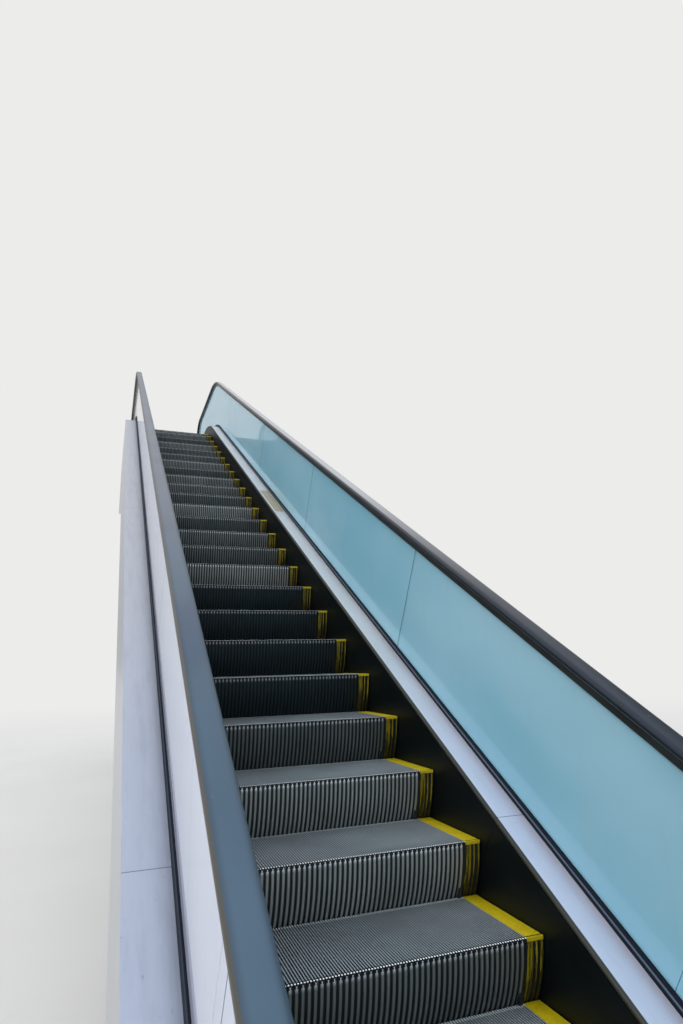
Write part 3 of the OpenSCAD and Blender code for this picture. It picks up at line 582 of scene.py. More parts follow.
def step_metal():
    f = Finish("step_metal")
    x = f.parts(f.place())[0]
    crown = f.attribute("crown")
    from_nose = f.attribute("from_nose")
    grit = f.noise(f.place(), 260, 3, 0.6)
    patches = f.noise(f.place(), 5, 4, 0.6)
    # the wear mark is painted light and shade mixed with wear: it lightens the paint of lit steps
    wear = f.attribute("wear")
    paint = f.mix(patches, (0.004, 0.009, 0.011), (0.010, 0.018, 0.022))
    paint = f.mix(wear, paint, (0.022, 0.030, 0.034))
    bare = f.mix(grit, (0.42, 0.52, 0.58), (0.68, 0.78, 0.84))
    rubbed = f.mix(grit, (0.44, 0.48, 0.47), (0.74, 0.77, 0.75))
    # painted light: on lit steps the rib crowns turn light grey
    dull = f.mix(wear, (0.030, 0.044, 0.050), rubbed)
    on_tread = from_nose > 0
    tip = 1 - f.band(from_nose, 0.004, 0.014)
    back = f.band(from_nose, 0.380, 0.392)
    rib_end = f.band(from_nose, -0.028, -0.012) * (1 - on_tread)
    bare = f.mix((rib_end + tip * on_tread).at_most_one(), bare, (0.94, 0.96, 0.98))
    top = crown ** 3
    worn_and_lit_tread = on_tread * (0.20 + patches * 0.30 + wear * 0.12 + tip * 1.2 + back * 0.7)
    worn_and_lit_rib = rib_end * (0.45 + wear * 0.8)
    dulled = top * (1 - on_tread) * (0.35 + patches * 0.7)
    tone = f.mix(dulled.at_most_one(), paint, dull)
    tone = f.mix((top * (worn_and_lit_tread + worn_and_lit_rib)).at_most_one(), tone, bare)
    joint = (abs(abs(x) - TREAD_SEAM_X) < 0.0009) * on_tread
    tone = f.mix(joint * 0.6, tone, (0.30, 0.33, 0.35))
    return f.done(Base_Color=tone, Metallic=0.3, Roughness=0.40 + grit * 0.2,
                  Specular_IOR_Level=0.25, Normal=f.bump(grit, 0.0001))


def yellow_paint():
    f = Finish("yellow_paint")
    from_nose = f.attribute("from_nose")
    grit = f.noise(f.place(), 90, 4, 0.65)
    patches = f.noise(f.place(), 17, 4, 0.7)
    x, y, z = f.parts(f.place())
    streaks = f.noise(f.vector(x * 420, y * 9, z * 9), 1, 3, 0.6)
    yellow_tone = f.mix(patches, (0.33, 0.265, 0.002), (0.50, 0.41, 0.004))
    on_riser = 1 - (from_nose > 0)
    low_down = 1 - f.band(from_nose, -0.20, -0.05)
    scuffs = f.band(grit, 0.50, 0.62) * 0.2
    worn = on_riser * f.band(streaks + low_down * 0.2, 0.46, 0.58) * 0.92
    # painted shade: the yellow on the riser is made darker than on the tread
    yellow_tone = f.mix(on_riser * 0.35, yellow_tone, (0.10, 0.08, 0.002))
    tone = f.mix((scuffs + worn).at_most_one(), yellow_tone, (0.022, 0.019, 0.008))
    return f.done(Base_Color=tone, Roughness=0.42 + patches * 0.2, Normal=f.bump(grit, 0.00015))


step_finish, yellow_finish = step_metal(), yellow_paint()
print("step finishes:", step_finish.name, yellow_finish.name)

# %% [markdown]
# ## One step
# The tread is a plate with narrow cleats from front to back, and the riser is a curved plate
# with ribs, because its shape must clear the next step as that one sinks in the bends. One
# cleat and one rib are made with care, and copied side by side with a spin of no angle, which
# only moves its copies. The gaps between the cleats are centred on the comb's teeth.

# %% Numbers of a step
CLEAT = 0.00933
CLEAT_W, CLEAT_TOP = 0.0058, 0.0043
CLEATS = 94
RIBS = 46
RIB_START = 0.0065
RIB_W = 0.0122
STEP_W = 1.000
TREAD_D, TREAD_T = PITCH - 0.004, 0.030
RISER_T = 0.012
GROOVE = 0.011
BITE = 0.001
RIB_DEPTH = 0.006
RIB_ROOT = PITCH - RIB_DEPTH
YELLOW_X = 0.4375
RISER_SWEEP = radians(32)
RISER_STEPS = 8
NOSE_ROUND, YELLOW_ROUND, YELLOW_START = 0.0025, 0.0012, 0.002
print("cleats:", CLEATS, "ribs:", RIBS, "each side of yellow from x =", YELLOW_X)


# %% Marks on the mesh for the materials
def marked_mesh():
    """A bmesh with its three marks. They come first, because a new mark resets the corners."""
    bm = bmesh.new()
    for mark in ("crown", "from_nose", "wear"):
        bm.verts.layers.float.new(mark)
    return bm


def marks(bm):
    layers = bm.verts.layers.float
    return layers["crown"], layers["from_nose"]


def mark_tread(bm, verts):
    crown, from_nose = marks(bm)
    for v in verts:
        v[crown] = 1.0 if v.co.z > -0.002 else 0.0
        v[from_nose] = max(v.co.y, 0.0005)


def mark_riser(bm, verts):
    crown, from_nose = marks(bm)
    for v in verts:
        reach = Vector((v.co.y - PITCH, v.co.z)).length
        v[crown] = min(1.0, max(0.0, (reach - RIB_ROOT) / RIB_DEPTH))
        v[from_nose] = -asin(min(1.0, max(0.0, -v.co.z / PITCH))) * PITCH - 0.0005


# %% Side by side copies, and a strip that curves down the riser
def in_a_row(bm, verts, spacing, count):
    edges = {e for v in verts for e in v.link_edges}
    faces = {f for v in verts for f in v.link_faces}
    bmesh.ops.spin(bm, geom=[*verts, *edges, *faces], cent=(0, 0, 0), axis=(0, 0, 1), angle=0,
                   dvec=(spacing, 0, 0), steps=count - 1, use_duplicate=True)


def riser_strip(bm, x, section, start=0.0):
    """A section of (x, radius) points, turned about the line that the riser is curved round.
    It starts a little under the nose, where a strip has to clear the cleats' ends."""
    before = set(bm.verts)
    face = flat_face(bm, [(x + dx, PITCH - radius, 0) for dx, radius in section])
    centre, first = (0, PITCH, 0), asin(start / PITCH)
    bmesh.ops.rotate(bm, verts=face.verts, cent=centre, matrix=Matrix.Rotation(first, 3, "X"))
    bmesh.ops.spin(bm, geom=[face], cent=centre, axis=(1, 0, 0),
                   angle=RISER_SWEEP - first, steps=RISER_STEPS)
    return [v for v in bm.verts if v not in before]


def rib_section(width):
    """A rib with a foot that stands in the riser plate, and a softly rounded top."""
    half = width / 2
    right = [(half, RIB_ROOT - BITE), (half * 0.94, PITCH - 0.0030), (half * 0.66, PITCH - 0.0010)]
    return [(-dx, radius) for dx, radius in right] + [(0, PITCH - 0.0004)] + right[::-1]


# %% The tread: a plate and one cleat in a row
def on_top(*verts):
    return all(v.co.z > -0.001 for v in verts)


def tread(bm):
    mark_tread(bm, block(bm, (-STEP_W / 2, 0.004, -TREAD_T), (STEP_W / 2, TREAD_D, -GROOVE)))
    first = -(CLEATS - 1) / 2 * CLEAT
    half = CLEAT_W / 2
    cleat = block(bm, (first - half, 0.0, -GROOVE - BITE), (first + half, TREAD_D, 0))
    for v in cleat:
        if on_top(v):
            v.co.x = first + (v.co.x - first) * CLEAT_TOP / CLEAT_W
    nose_edge = edges_at(cleat, lambda a, b: on_top(a, b) and max(a.co.y, b.co.y) < 0.001)
    soft = soften(bm, nose_edge, NOSE_ROUND, 2)
    cleat = list({v for f in soft for v in f.verts} | {v for v in cleat if v.is_valid})
    mark_tread(bm, cleat)
    in_a_row(bm, cleat, CLEAT, CLEATS)


# %% The riser: a curved plate and one rib in a row
def riser(bm):
    inner, half = PITCH - RISER_T, STEP_W / 2
    plate = [(-half, inner), (half, inner), (half, RIB_ROOT), (-half, RIB_ROOT)]
    mark_riser(bm, riser_strip(bm, 0, plate))
    rib = riser_strip(bm, -(RIBS - 1) * CLEAT, rib_section(RIB_W), RIB_START)
    mark_riser(bm, rib)
    in_a_row(bm, rib, 2 * CLEAT, RIBS)


step_mesh = marked_mesh()
tread(step_mesh)
riser(step_mesh)
bmesh.ops.recalc_face_normals(step_mesh, faces=step_mesh.faces)
print("one step:", sum(len(f.verts) - 2 for f in step_mesh.faces), "triangles")

# %% [markdown]
# Below the tread sit two brackets with the rollers. They are out of sight behind the skirts,
# but the step isn't whole without them, so they are made as plain turned and cut parts.

# %% Brackets, rollers and axle pins
BRACKET_X = (0.416, 0.430)
BRACKET_RIM = 0.024
REAR_X, REAR_Y, REAR_Z, FRONT_Y = 0.518, 0.340, -0.062, 0.105
ROLLER_R, ROLLER_W, PIN_R = 0.030, 0.022, 0.012
ROLLER_N = REAR_Z * cos(INCLINE) - REAR_Y * sin(INCLINE)
FRONT_Z = (ROLLER_N + FRONT_Y * sin(INCLINE)) / cos(INCLINE)


def disc(bm, x0, x1, y, z, radius, sides=24):
    turn = Matrix.Translation(((x0 + x1) / 2, y, z)) @ Matrix.Rotation(pi / 2, 4, "Y")
    return bmesh.ops.create_cone(bm, cap_ends=True, segments=sides, radius1=radius,
                                 radius2=radius, depth=x1 - x0, matrix=turn)["verts"]


def running_gear(low_room):
    """Brackets and rollers of one step, as far as there is room above the base pan."""
    bm = bmesh.new()
    inner, outer = BRACKET_X
    face = flat_face(bm, [(inner, y, z) for y, z in (
        (0.012, -0.020), (0.045, FRONT_Z - BRACKET_RIM),
        (FRONT_Y + BRACKET_RIM, FRONT_Z - BRACKET_RIM),
        (REAR_Y + BRACKET_RIM, REAR_Z - BRACKET_RIM), (REAR_Y + BRACKET_RIM, -0.020))])
    made = bmesh.ops.extrude_face_region(bm, geom=[face])["geom"]
    bmesh.ops.translate(bm, verts=verts_of(made), vec=(outer - inner, 0, 0))
    if low_room + FRONT_Z - ROLLER_R > 0:
        disc(bm, outer, outer + ROLLER_W, FRONT_Y, FRONT_Z, ROLLER_R)
    if low_room + REAR_Z - ROLLER_R > 0:
        disc(bm, REAR_X, REAR_X + ROLLER_W, REAR_Y, REAR_Z, ROLLER_R)
        disc(bm, outer - BITE, REAR_X + BITE, REAR_Y, REAR_Z, PIN_R, 12)
    doubled(bm)
    bmesh.ops.recalc_face_normals(bm, faces=bm.faces)
    return mesh_from(bm, "gear")


# %% All the steps, in the groups of the CAD nodes
LANDING_STEPS, FLIGHTS = 4, 5


def group_of(i):
    on_flight = STEP_COUNT - 2 * LANDING_STEPS
    if i < LANDING_STEPS:
        return "steps_lower_landing"
    if i >= STEP_COUNT - LANDING_STEPS:
        return "steps_upper_landing"
    return f"steps_flight_{1 + (i - LANDING_STEPS) * FLIGHTS // on_flight}"


def cut_below(bm, z):
    """What would lie below a level is cut away and closed."""
    cut = bmesh.ops.bisect_plane(bm, geom=bm.verts[:] + bm.edges[:] + bm.faces[:],
                                 plane_co=(0, 0, z), plane_no=(0, 0, -1), clear_outer=True)
    edges = [e for e in cut["geom_cut"] if isinstance(e, bmesh.types.BMEdge)]
    bmesh.ops.holes_fill(bm, edges=edges, sides=0)


PAN_TOP, LOW_NOSE = 0.0103, 0.4
# painted light and shade for each step, mixed with wear
STEP_LIGHT_AND_WEAR = {7: 0.45, 8: 1.0, 9: 0.95, 10: 0.30, 11: 0.0, 12: 0.0, 13: 0.0, 14: 0.0, 15: 0.85,
             16: 0.35, 18: 0.25, 19: 0.95}


def light_and_wear_of(i):
    """How lit and worn a step is, from 0 to 1: painted light and shade mixed with wear. Those that
    the photo shows clearly are listed.
    """
    return STEP_LIGHT_AND_WEAR.get(i, 0.55 + 0.25 * sin(2.4 * i))


one_step = mesh_from(step_mesh, "one_step")
groups = {}
for i, nose in enumerate(step_noses):
    bm = bmesh.new()
    bm.from_mesh(one_step)
    bm.from_mesh(running_gear(nose.z - PAN_TOP))
    # each step gets its mark of painted light and shade, mixed with wear
    wear = bm.verts.layers.float["wear"]
    for v in bm.verts:
        v[wear] = light_and_wear_of(i)
    bmesh.ops.translate(bm, verts=bm.verts, vec=nose)
    if nose.z < LOW_NOSE:
        cut_below(bm, PAN_TOP)
    groups.setdefault(group_of(i), []).append(mesh_from(bm, "placed"))

for node, meshes in groups.items():
    bm = bmesh.new()
    for mesh in meshes:
        bm.from_mesh(mesh)
    keep(bm, "cleated_" + node, step_finish, [node], smooth_below=32)

# %% [markdown]
# ## Yellow edges
# Each step has a yellow strip along both sides of its tread, and its riser has four yellow
# ribs under it. They warn riders off the gap beside the skirt. On the tread it is one flat
# insert, and the ribs are two wide ones and two thin, worn ones.

# %% Yellow strips and ribs
YELLOW_RIBS = ((0.4450, 0.0095), (0.4565, 0.0100), (0.4745, 0.0060), (0.4945, 0.0080))


def yellow_side():
    bm = marked_mesh()
    strip = block(bm, (YELLOW_X, 0.0, -GROOVE - BITE), (STEP_W / 2 - 0.0005, TREAD_D, 0.0))
    soften(bm, edges_at(strip, on_top), YELLOW_ROUND, 2)
    mark_tread(bm, bm.verts)
    for x, width in YELLOW_RIBS:
        mark_riser(bm, riser_strip(bm, x, rib_section(width), YELLOW_START))
    bmesh.ops.recalc_face_normals(bm, faces=bm.faces)
    return mesh_from(bm, "yellow")


one_yellow = yellow_side()
bm = bmesh.new()
for nose in step_noses:
    before = set(bm.verts)
    bm.from_mesh(one_yellow)
    new = [v for v in bm.verts if v not in before]
    bmesh.ops.translate(bm, verts=new, vec=nose)
cut_below(bm, PAN_TOP)
doubled(bm)
keep(bm, "yellow_step_edges", yellow_finish,
     ["yellow_edges_left", "yellow_edges_right"], smooth_below=32)

# %% [markdown]
# ## Handrails
# A handrail is one endless rubber loop: level, up the flight, level, round the newel at each
# end and into its inlet. Its section is a flat C that wraps a metal guide. So the section is
# drawn once as a flat face, its corners are rounded, and it is swept with extrude and spin.

# %% The way of the handrail
RAIL_H, RAIL_SLOPE_H = 1.000, 0.935
NEWEL_R, NEWEL_OUT, NEWEL_TURNS = 0.385, 0.690, 32
NEWEL_LOW_Y = COMB_LOW_Y - NEWEL_OUT
NEWEL_UP_Y = COMB_UP_Y + NEWEL_OUT
NEWEL_Z = TREAD_Z + RAIL_H - NEWEL_R
rail_corner = (RAIL_H - RAIL_SLOPE_H) / tan(INCLINE)
rail_line = Line((rail_corner, TREAD_Z + RAIL_H),
                 (SLOPE_RUN + rail_corner, TREAD_Z + RISE + RAIL_H), 0.700, 1.500)


def rail_way(return_length):
    back = ("go", (0, -return_length, 0))
    return [back, ("turn", (0, NEWEL_LOW_Y, NEWEL_Z), -pi, NEWEL_TURNS),
            *rail_line.moves(NEWEL_LOW_Y, NEWEL_UP_Y),
            ("turn", (0, NEWEL_UP_Y, NEWEL_Z + RISE), -pi, NEWEL_TURNS), back]


def rail_profile(bm, outline, return_length, corners):
    """A section as (x, depth under the handrail's top), set at the start of the way."""
    start_z = NEWEL_Z - NEWEL_R
    bm.verts.layers.float.new("depth")
    face = flat_face(bm, [(GLASS_X + x, NEWEL_LOW_Y + return_length, start_z + depth)
                          for x, depth in outline])
    round_off(bm, face, corners)
    depth_mark = bm.verts.layers.float["depth"]
    for v in bm.verts:
        v[depth_mark] = v.co.z - start_z
    return bm.faces[:][0]


def both_rails(outline, return_length, corners, name, finish, node_word):
    for side in ("right", "left"):
        bm = bmesh.new()
        face = rail_profile(bm, outline, return_length, corners)
        sweep(bm, face, rail_way(return_length))
        if side == "left":
            flip(bm, ACROSS_X)
        keep(bm, name + side, finish, [node_word + side], smooth_below=40)


# %% Rubber handrail, right and left
RAIL_SECTION = [(-0.040, 0.0026), (-0.015, 0.0), (0.015, 0.0), (0.040, 0.0026), (0.040, 0.030),
                (0.020, 0.030), (0.020, 0.020), (0.030, 0.020), (0.030, 0.010), (-0.030, 0.010),
                (-0.030, 0.020), (-0.020, 0.020), (-0.020, 0.030), (-0.040, 0.030)]
both_rails(RAIL_SECTION, 0.150, [((0, 3), 0.014, 7), ((4, 13), 0.012, 6)],
           "rubber_handrail_", rail_finish, "handrail_")

# %% Metal guide under the handrail
GUIDE_SECTION = [(-0.028, 0.0103), (0.028, 0.0103), (0.028, 0.0163), (0.018, 0.0163),
                 (0.018, 0.036), (0.013, 0.036), (0.013, 0.066), (0.0053, 0.066),
                 (0.0053, 0.045), (-0.0053, 0.045), (-0.0053, 0.066), (-0.013, 0.066),
                 (-0.013, 0.036), (-0.018, 0.036), (-0.018, 0.0163), (-0.028, 0.0163)]
both_rails(GUIDE_SECTION, 0.120, [((4, 13), 0.003, 3)],
           "metal_guide_", guide_finish, "handrail_guide_")

# %% [markdown]
# ## Finishes of the CAD nodes that stay
# The other solids already have the right shape, so they only get their materials.

# %% Plates and combs
MIDDLE_Y = (COMB_LOW_Y + COMB_UP_Y) / 2
PLATE_END, PLATE_SIDE, PLATE_FRAME = 7.3785, 0.795, 0.022
PLATE_JOINT, PLATE_RIB = 6.905, 0.009


def ribbed_plate():
    """Ribs along the way people walk, inside a plain frame, with one joint between two plates."""
    f = Finish("ribbed_plate")
    x, y = f.parts(f.place())[:2]
    side, away = abs(x), abs(y - MIDDLE_Y)
    frame_in = (side - PLATE_SIDE).math("MAXIMUM", away - PLATE_END) + PLATE_FRAME
    inside = 1 - f.band(frame_in, -0.0005, 0.0005)
    groove = (abs(frame_in) < 0.0016).math("MAXIMUM", abs(away - PLATE_JOINT) < 0.0015)
    raised = f.band((x * (2 * pi / PLATE_RIB)).math("SINE"), -0.35, 0.35)
    dirt = f.noise(f.place(), 7, 5, 0.6)
    walked = f.band(side + dirt * 0.3, 0.25, 0.65)
    grit = f.noise(f.place(), 180, 3, 0.6)
    rubbed = f.mix(walked, (0.52, 0.53, 0.54), (0.34, 0.34, 0.34))
    tone = f.mix(raised, (0.07, 0.07, 0.07), rubbed)
    tone = f.mix(inside, (0.50, 0.51, 0.52), tone)
    tone = f.mix(dirt * 0.35, tone, (0.16, 0.155, 0.145))
    tone = f.mix(groove, tone, (0.015, 0.015, 0.015))
    return f.done(Base_Color=tone, Metallic=0.85, Roughness=0.34 + dirt * 0.22,
                  Normal=f.bump(raised * inside + grit * 0.06 - groove, 0.0012))


def comb_metal():
    f = Finish("comb_metal")
    place = f.place()
    grit = f.noise(place, 300, 3, 0.6)
    wear = f.noise(place, 12, 4, 0.6)
    tone = f.mix(wear, (0.34, 0.34, 0.33), (0.52, 0.52, 0.50))
    return f.done(Base_Color=tone, Metallic=0.85, Roughness=0.34 + grit * 0.2,
                  Normal=f.bump(grit, 0.0001))


plate_finish, comb_finish = ribbed_plate(), comb_metal()
finish_of = {
    "deck": deck_finish, "cladding": cladding_finish, "soffit": cladding_finish,
    "skirt": skirt_finish, "gasket": gasket_finish, "clamp": structure_finish,
    "inlets": cowl_finish, "floor_plates": plate_finish, "comb_plate": plate_finish,
    "comb": comb_finish, "glass_left": glass_left, "glass_right": glass_right,
}
for name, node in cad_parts.items():
    fitting = (finish for word, finish in finish_of.items() if word in name)
    chosen = next(fitting, structure_finish)
    for material_slot in node.material_slots:
        material_slot.material = chosen
print("dressed CAD nodes:", len(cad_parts))

# %% [markdown]
# ## Newel bases
# At each newel the deck ends in a folded steel cap, and a moulded cowl stands on it. The
# handrail runs into the cowl through a block of bristles, which keeps fingers and dust out. A
# red stop button sits on its inner side. One base is made for the lower right newel, as side
# views that are extruded and softened with a bevel. It is then mirrored to the left, and turned
# about for the upper landing. The corner of the glass over the cowl is its own small sheet.

# %% Numbers of a newel base
BASE_FRONT_Y = NEWEL_LOW_Y + 0.010
BASE_BACK_Y = NEWEL_LOW_Y + 0.4198
COWL_Y = BASE_FRONT_Y + 0.032
COWL_TOP, CAP_FOOT, CAP_TOP, OUTER_Z, INNER_Z = 0.395, 0.0205, 0.2035, 0.182, 0.2165
CAP_X, CAP_RAMP = (0.5105, 0.6395, 0.7955), 0.10
COWL_HALF, COWL_FOOT, COWL_FLAT = 0.065, OUTER_Z - 0.06, 0.10
BRISTLE_HALF, BRISTLE_LOW, BRISTLE_HIGH = 0.048, 0.302, 0.352
BUTTON_X, BUTTON_Y, BUTTON_Z = 0.5755, COWL_Y + 0.080, 0.262
GLASS_HALF, GLASS_FOOT, GLASS_SUNK = 0.0048, 0.358, 0.02
TO_THE_TOP = (0, 2 * MIDDLE_Y, RISE)
print("newel base from y =", round(BASE_FRONT_Y, 4), "to", round(BASE_BACK_Y, 4))


# %% A side view made solid, with its chosen corners rounded first and its edges softened last
def side_solid(bm, x0, x1, outline, corners=(), edge_radius=0.0):
    before = set(bm.verts)
    round_off(bm, flat_face(bm, [(x0, y, z) for y, z in outline]), corners)
    face = next(f for f in bm.faces if not set(f.verts) & before)
    made = bmesh.ops.extrude_face_region(bm, geom=[face])["geom"]
    bmesh.ops.translate(bm, verts=verts_of(made), vec=(x1 - x0, 0, 0))
    new = [v for v in bm.verts if v not in before]
    bmesh.ops.recalc_face_normals(bm, faces=list({f for v in new for f in v.link_faces}))
    if edge_radius:
        rims = edges_at(new, lambda a, b: abs(a.co.x - b.co.x) < 1e-6)
        soften(bm, rims, edge_radius, 3)


def both_ends(make, name, finish, node_words=(), smooth_below=40):
    """One piece at each landing: the right half is made, mirrored, and turned for the top."""
    for end in ("lower", "upper"):
        bm = bmesh.new()
        make(bm)
        doubled(bm)
        if end == "upper":
            flip(bm, ACROSS_Y)
            bmesh.ops.translate(bm, verts=bm.verts, vec=TO_THE_TOP)
        nodes = [word + end for word in node_words]
        keep(bm, name + end, finish, nodes, smooth_below)


# %% Steel caps at the ends of the decks
def deck_caps(bm):
    front, back = BASE_FRONT_Y, BASE_BACK_Y
    for x0, x1, deck_z in ((*CAP_X[:2], INNER_Z), (*CAP_X[1:], OUTER_Z)):
        side_solid(bm, x0, x1, [
            (front, CAP_FOOT), (back, CAP_FOOT), (back, deck_z), (back - CAP_RAMP, CAP_TOP),
            (front, CAP_TOP)], [((4,), 0.016, 6), ((3,), 0.040, 6)])


# %% Cowl, bristles, stop button, and the corner of the glass
def cowl(bm):
    back, top = BASE_BACK_Y - BITE, COWL_TOP - 0.004
    side_solid(bm, GLASS_X - COWL_HALF, GLASS_X + COWL_HALF, [
        (COWL_Y, COWL_FOOT), (back, COWL_FOOT), (back, INNER_Z), (COWL_Y + COWL_FLAT, top),
        (COWL_Y, top)], [((4,), 0.055, 8), ((3,), 0.060, 8)], 0.007)


def bristles(bm):
    front, back = COWL_Y - 0.008, COWL_Y + 0.01
    side_solid(bm, GLASS_X - BRISTLE_HALF, GLASS_X + BRISTLE_HALF, [
        (front, BRISTLE_LOW), (back, BRISTLE_LOW), (back, BRISTLE_HIGH), (front, BRISTLE_HIGH)])


def stop_button(bm):
    for depth, radius in ((0.004, 0.027), (0.010, 0.020)):
        disc(bm, BUTTON_X - depth, BUTTON_X, BUTTON_Y, BUTTON_Z, radius, 40)


def glass_corner(bm):
    front, back, slot = BASE_FRONT_Y, BASE_BACK_Y, COWL_Y + GLASS_SUNK
    low, top = INNER_Z - GLASS_SUNK, COWL_TOP - 0.0002
    side_solid(bm, GLASS_X - GLASS_HALF, GLASS_X + GLASS_HALF, [
        (front, GLASS_FOOT), (slot, GLASS_FOOT), (slot, low), (back, low), (back, top),
        (front, top)])


# %% Bristles and the stop button's plastic
def bristle_black():
    f = Finish("bristle_black")
    x, y, z = f.parts(f.place())
    hairs = f.noise(f.vector(x * 1500, y * 60, z * 60), 1, 2)
    clumps = f.noise(f.place(), 160, 3, 0.6)
    tone = f.mix(hairs, (0.004, 0.004, 0.005), (0.035, 0.034, 0.032))
    return f.done(Base_Color=tone, Roughness=0.75 + clumps * 0.2,
                  Normal=f.bump(hairs + clumps, 0.0012))


def stop_red():
    """Red plastic in a grey ring, which starts further out than the button's face."""
    f = Finish("stop_red")
    x = f.parts(f.place())[0]
    scuffs = f.noise(f.place(), 45, 4, 0.6)
    mould = f.noise(f.place(), 600, 2)
    tone = f.mix(scuffs, (0.42, 0.008, 0.006), (0.62, 0.020, 0.012))
    tone = f.mix(abs(x) > BUTTON_X - 0.0043, tone, (0.30, 0.30, 0.30))
    return f.done(Base_Color=tone, Roughness=0.3 + scuffs * 0.2, Normal=f.bump(mould, 0.0001))


# %% The bases at both landings
both_ends(deck_caps, "deck_caps_", deck_finish)
both_ends(cowl, "inlet_cowls_", cowl_finish, ["handrail_inlets_"], 50)
both_ends(bristles, "inlet_bristles_", bristle_black())
both_ends(stop_button, "stop_buttons_", stop_red(), smooth_below=30)
for side, finish in (("right", glass_right), ("left", glass_left)):
    bm = bmesh.new()
    glass_corner(bm)
    if side == "left":
        flip(bm, ACROSS_X)
    bmesh.ops.translate(bm, verts=doubled(bm, ACROSS_Y), vec=TO_THE_TOP)
    keep(bm, "glass_corners_" + side, finish)

# %% [markdown]
# Each casting of a comb is held by screws, whose flat heads show on its plain back edge.

# %% Screws of the combs
SCREWS, SCREW_SPACING, SCREW_Y, SCREW_Z = 5, 0.1, COMB_LOW_Y + 0.014, 0.0903


def comb_screws(bm):
    for i in range(SCREWS):
        place = Matrix.Translation(((i + 0.5) * SCREW_SPACING, SCREW_Y, SCREW_Z))
        bmesh.ops.create_cone(bm, cap_ends=True, segments=16, radius1=0.0068, radius2=0.0056,
                              depth=0.0012, matrix=place)


both_ends(comb_screws, "comb_screws_", comb_finish, smooth_below=30)

# %% [markdown]
# ## Trim on the deck
# A bare brass plate sits on the right inner deck, part of the way up. It is a thin sheet with
# soft corners, made on the level and then turned up the slope.

# %% Brass plate
BRASS_LOW, BRASS_HIGH = (0.533, 5.740, 0.1365), (0.616, 6.490, 0.1392)


def old_brass():
    f = Finish("old_brass")
    x, along = along_and_over(f)[:2]
    lines = f.noise(f.vector(x * 500, along * 2, 0), 1, 2)
    stain = f.noise(f.vector(x * 12, along * 12, 0), 1, 4, 0.6)
    tone = f.mix(stain, (0.42, 0.37, 0.24), (0.62, 0.56, 0.40))
    tone = f.mix(lines * 0.3, tone, (0.30, 0.26, 0.16))
    return f.done(Base_Color=tone, Metallic=0.6, Roughness=0.34 + stain * 0.2,
                  Normal=f.bump(lines, 0.00005))


bm = bmesh.new()
plate = block(bm, BRASS_LOW, BRASS_HIGH)
soften(bm, edges_at(plate, lambda a, b: abs(a.co.z - b.co.z) > 0.001), 0.020, 5)
bmesh.ops.rotate(bm, verts=bm.verts, cent=(0, 0, 0), matrix=Matrix.Rotation(INCLINE, 3, "X"))
bmesh.ops.translate(bm, verts=bm.verts, vec=(0, 0, TREAD_Z))
keep(bm, "brass_plate", old_brass(), smooth_below=40)

# %% [markdown]
# ## Floor, light and camera
# The floor and the air are plain and pale. What lights the piece and what the camera sees
# behind it are kept apart: a camera, mirror or glass ray meets the pale background, and all
# other rays meet a dimmer world, so the pale background never floods the piece with light.

# %% Pale floor
PALE = (0.84, 0.84, 0.83)
FLOOR_Y, FLOOR_REACH, FADE_FROM, FADE_TO = 4.7, 300, 9, 30


def stage_floor():
    """A pale floor that turns into the background far away, for the camera only."""
    f = Finish("stage_floor")
    cloud = f.noise(f.place(), 0.7, 3)
    f.done(Base_Color=f.mix(cloud, (0.54, 0.54, 0.53), (0.59, 0.59, 0.58)), Roughness=0.8)
    x, y = f.parts(f.place())[:2]
    centred = f.vector(x, y - FLOOR_Y, 0)
    away = f.node("ShaderNodeVectorMath", {"operation": "LENGTH"}, [centred], "Value")
    fade = f.band(away, FADE_FROM, FADE_TO) * f.ray("Is Camera Ray")
    far = f.node("ShaderNodeEmission", {}, {"Color": PALE})
    near = Wire(f, f.shader.outputs[0])
    faded = f.node("ShaderNodeMixShader", {}, [fade, near, far])
    f.plug(f.tree.nodes["Material Output"].inputs["Surface"], faded)
    return f.material


bm = bmesh.new()
bmesh.ops.create_grid(bm, x_segments=1, y_segments=1, size=FLOOR_REACH)
bmesh.ops.translate(bm, verts=bm.verts, vec=(0, FLOOR_Y, 0))
floor_mesh = mesh_from(bm, "floor")
floor_mesh.materials.append(stage_floor())
floor = bpy.data.objects.new("floor", floor_mesh)
bpy.context.scene.collection.objects.link(floor)


# %% World: what is seen, what is mirrored, and what lights
def studio_world(shown, light, blue, white, canopy, horizon):
    """The mirrored hall: blue overhead, white up the flight, a dark canopy on the right."""
    world = bpy.data.worlds.new("studio")
    world.use_nodes = True
    f = Net(world.node_tree)
    x, y, z = f.parts(f.place("Generated"))
    overhead = f.mix(f.band(y, 0.20, 0.60), blue, white)
    near_by = f.band(x, 0.35, 0.60) * (1.0 - f.band(y, 0.35, 0.60))
    under_canopy = near_by * f.band(z, 0.30, 0.45) * (1.0 - f.band(z, 0.60, 0.72))
    above = f.mix(under_canopy, overhead, canopy)
    mirror = f.mix(f.band(z, 0.05, 0.45), horizon, above)
    colour = f.mix(f.ray("Is Glossy Ray"), light, mirror)
    seen = f.ray("Is Camera Ray").math("MAXIMUM", f.ray("Is Transmission Ray"))
    f.plug(f.tree.nodes["Background"].inputs["Color"], f.mix(seen, colour, shown))
    bpy.context.scene.world = world


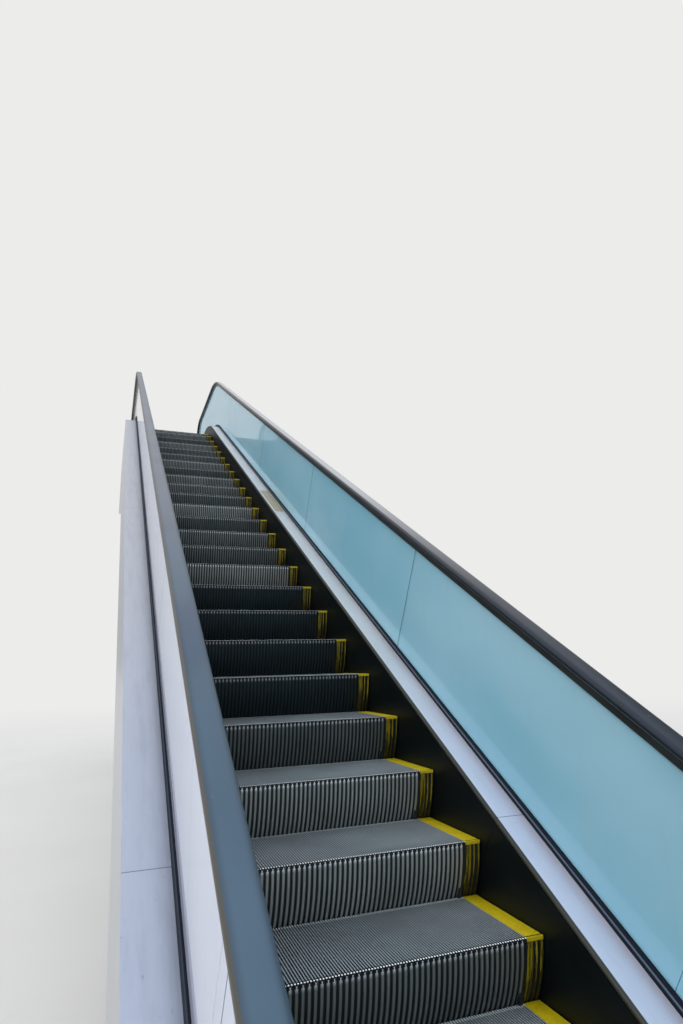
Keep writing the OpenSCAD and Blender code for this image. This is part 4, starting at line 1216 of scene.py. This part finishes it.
studio_world(shown=PALE, light=(0.70, 0.71, 0.74), blue=(0.66, 0.73, 0.89),
             white=(0.80, 0.79, 0.78), canopy=(0.10, 0.10, 0.11), horizon=(0.50, 0.51, 0.53))

# %% [markdown]
# The hall is lit through its roof, so the lamp is a very wide, soft sun high above. A wide sun
# lights every step alike, as a skylight does, and its shadows have no hard edges.
# Metal doesn't mirror the lamp, only the world, so no sheet turns into a white patch.

# %% Skylight
skylight = bpy.data.lights.new("skylight", "SUN")
skylight.energy, skylight.angle = 2.4, radians(70)
skylight.color = (1.0, 0.99, 0.97)
sun = bpy.data.objects.new("skylight", skylight)
sun.rotation_euler = (radians(22), radians(-18), 0)
sun.visible_glossy = False
bpy.context.scene.collection.objects.link(sun)

# %% [markdown]
# ## Camera
# The camera stands to the left of the lower end, at eye height, and looks up the flight. Its
# place, its turn and its focal length were fitted to the evenly spaced noses of the steps.

# %% Camera at the photo's angle
YAW, PITCH_UP, ROLL = 0.354606346, 0.235645242, -0.023847103
FOCAL_PIXELS, IMAGE_HEIGHT, SENSOR = 631.961746, 1024, 36.0
EYE = (-0.8820998, -0.7030529, 1.6660875)
forward = Vector((sin(YAW) * cos(PITCH_UP), cos(YAW) * cos(PITCH_UP), sin(PITCH_UP)))
level_right = forward.cross(Vector((0, 0, 1))).normalized()
level_up = level_right.cross(forward)
camera_right = cos(ROLL) * level_right + sin(ROLL) * level_up
camera_up = -sin(ROLL) * level_right + cos(ROLL) * level_up
camera_data = bpy.data.cameras.new("camera")
camera_data.sensor_width, camera_data.sensor_fit = SENSOR, "AUTO"
camera_data.lens = FOCAL_PIXELS * SENSOR / IMAGE_HEIGHT
camera = bpy.data.objects.new("camera", camera_data)
turn = Matrix((camera_right, camera_up, -forward)).transposed().to_4x4()
camera.matrix_world = Matrix.Translation(EYE) @ turn
bpy.context.scene.collection.objects.link(camera)
bpy.context.scene.camera = camera
bpy.context.scene.view_settings.view_transform = "Standard"
print("lens:", round(camera_data.lens, 2), "mm")
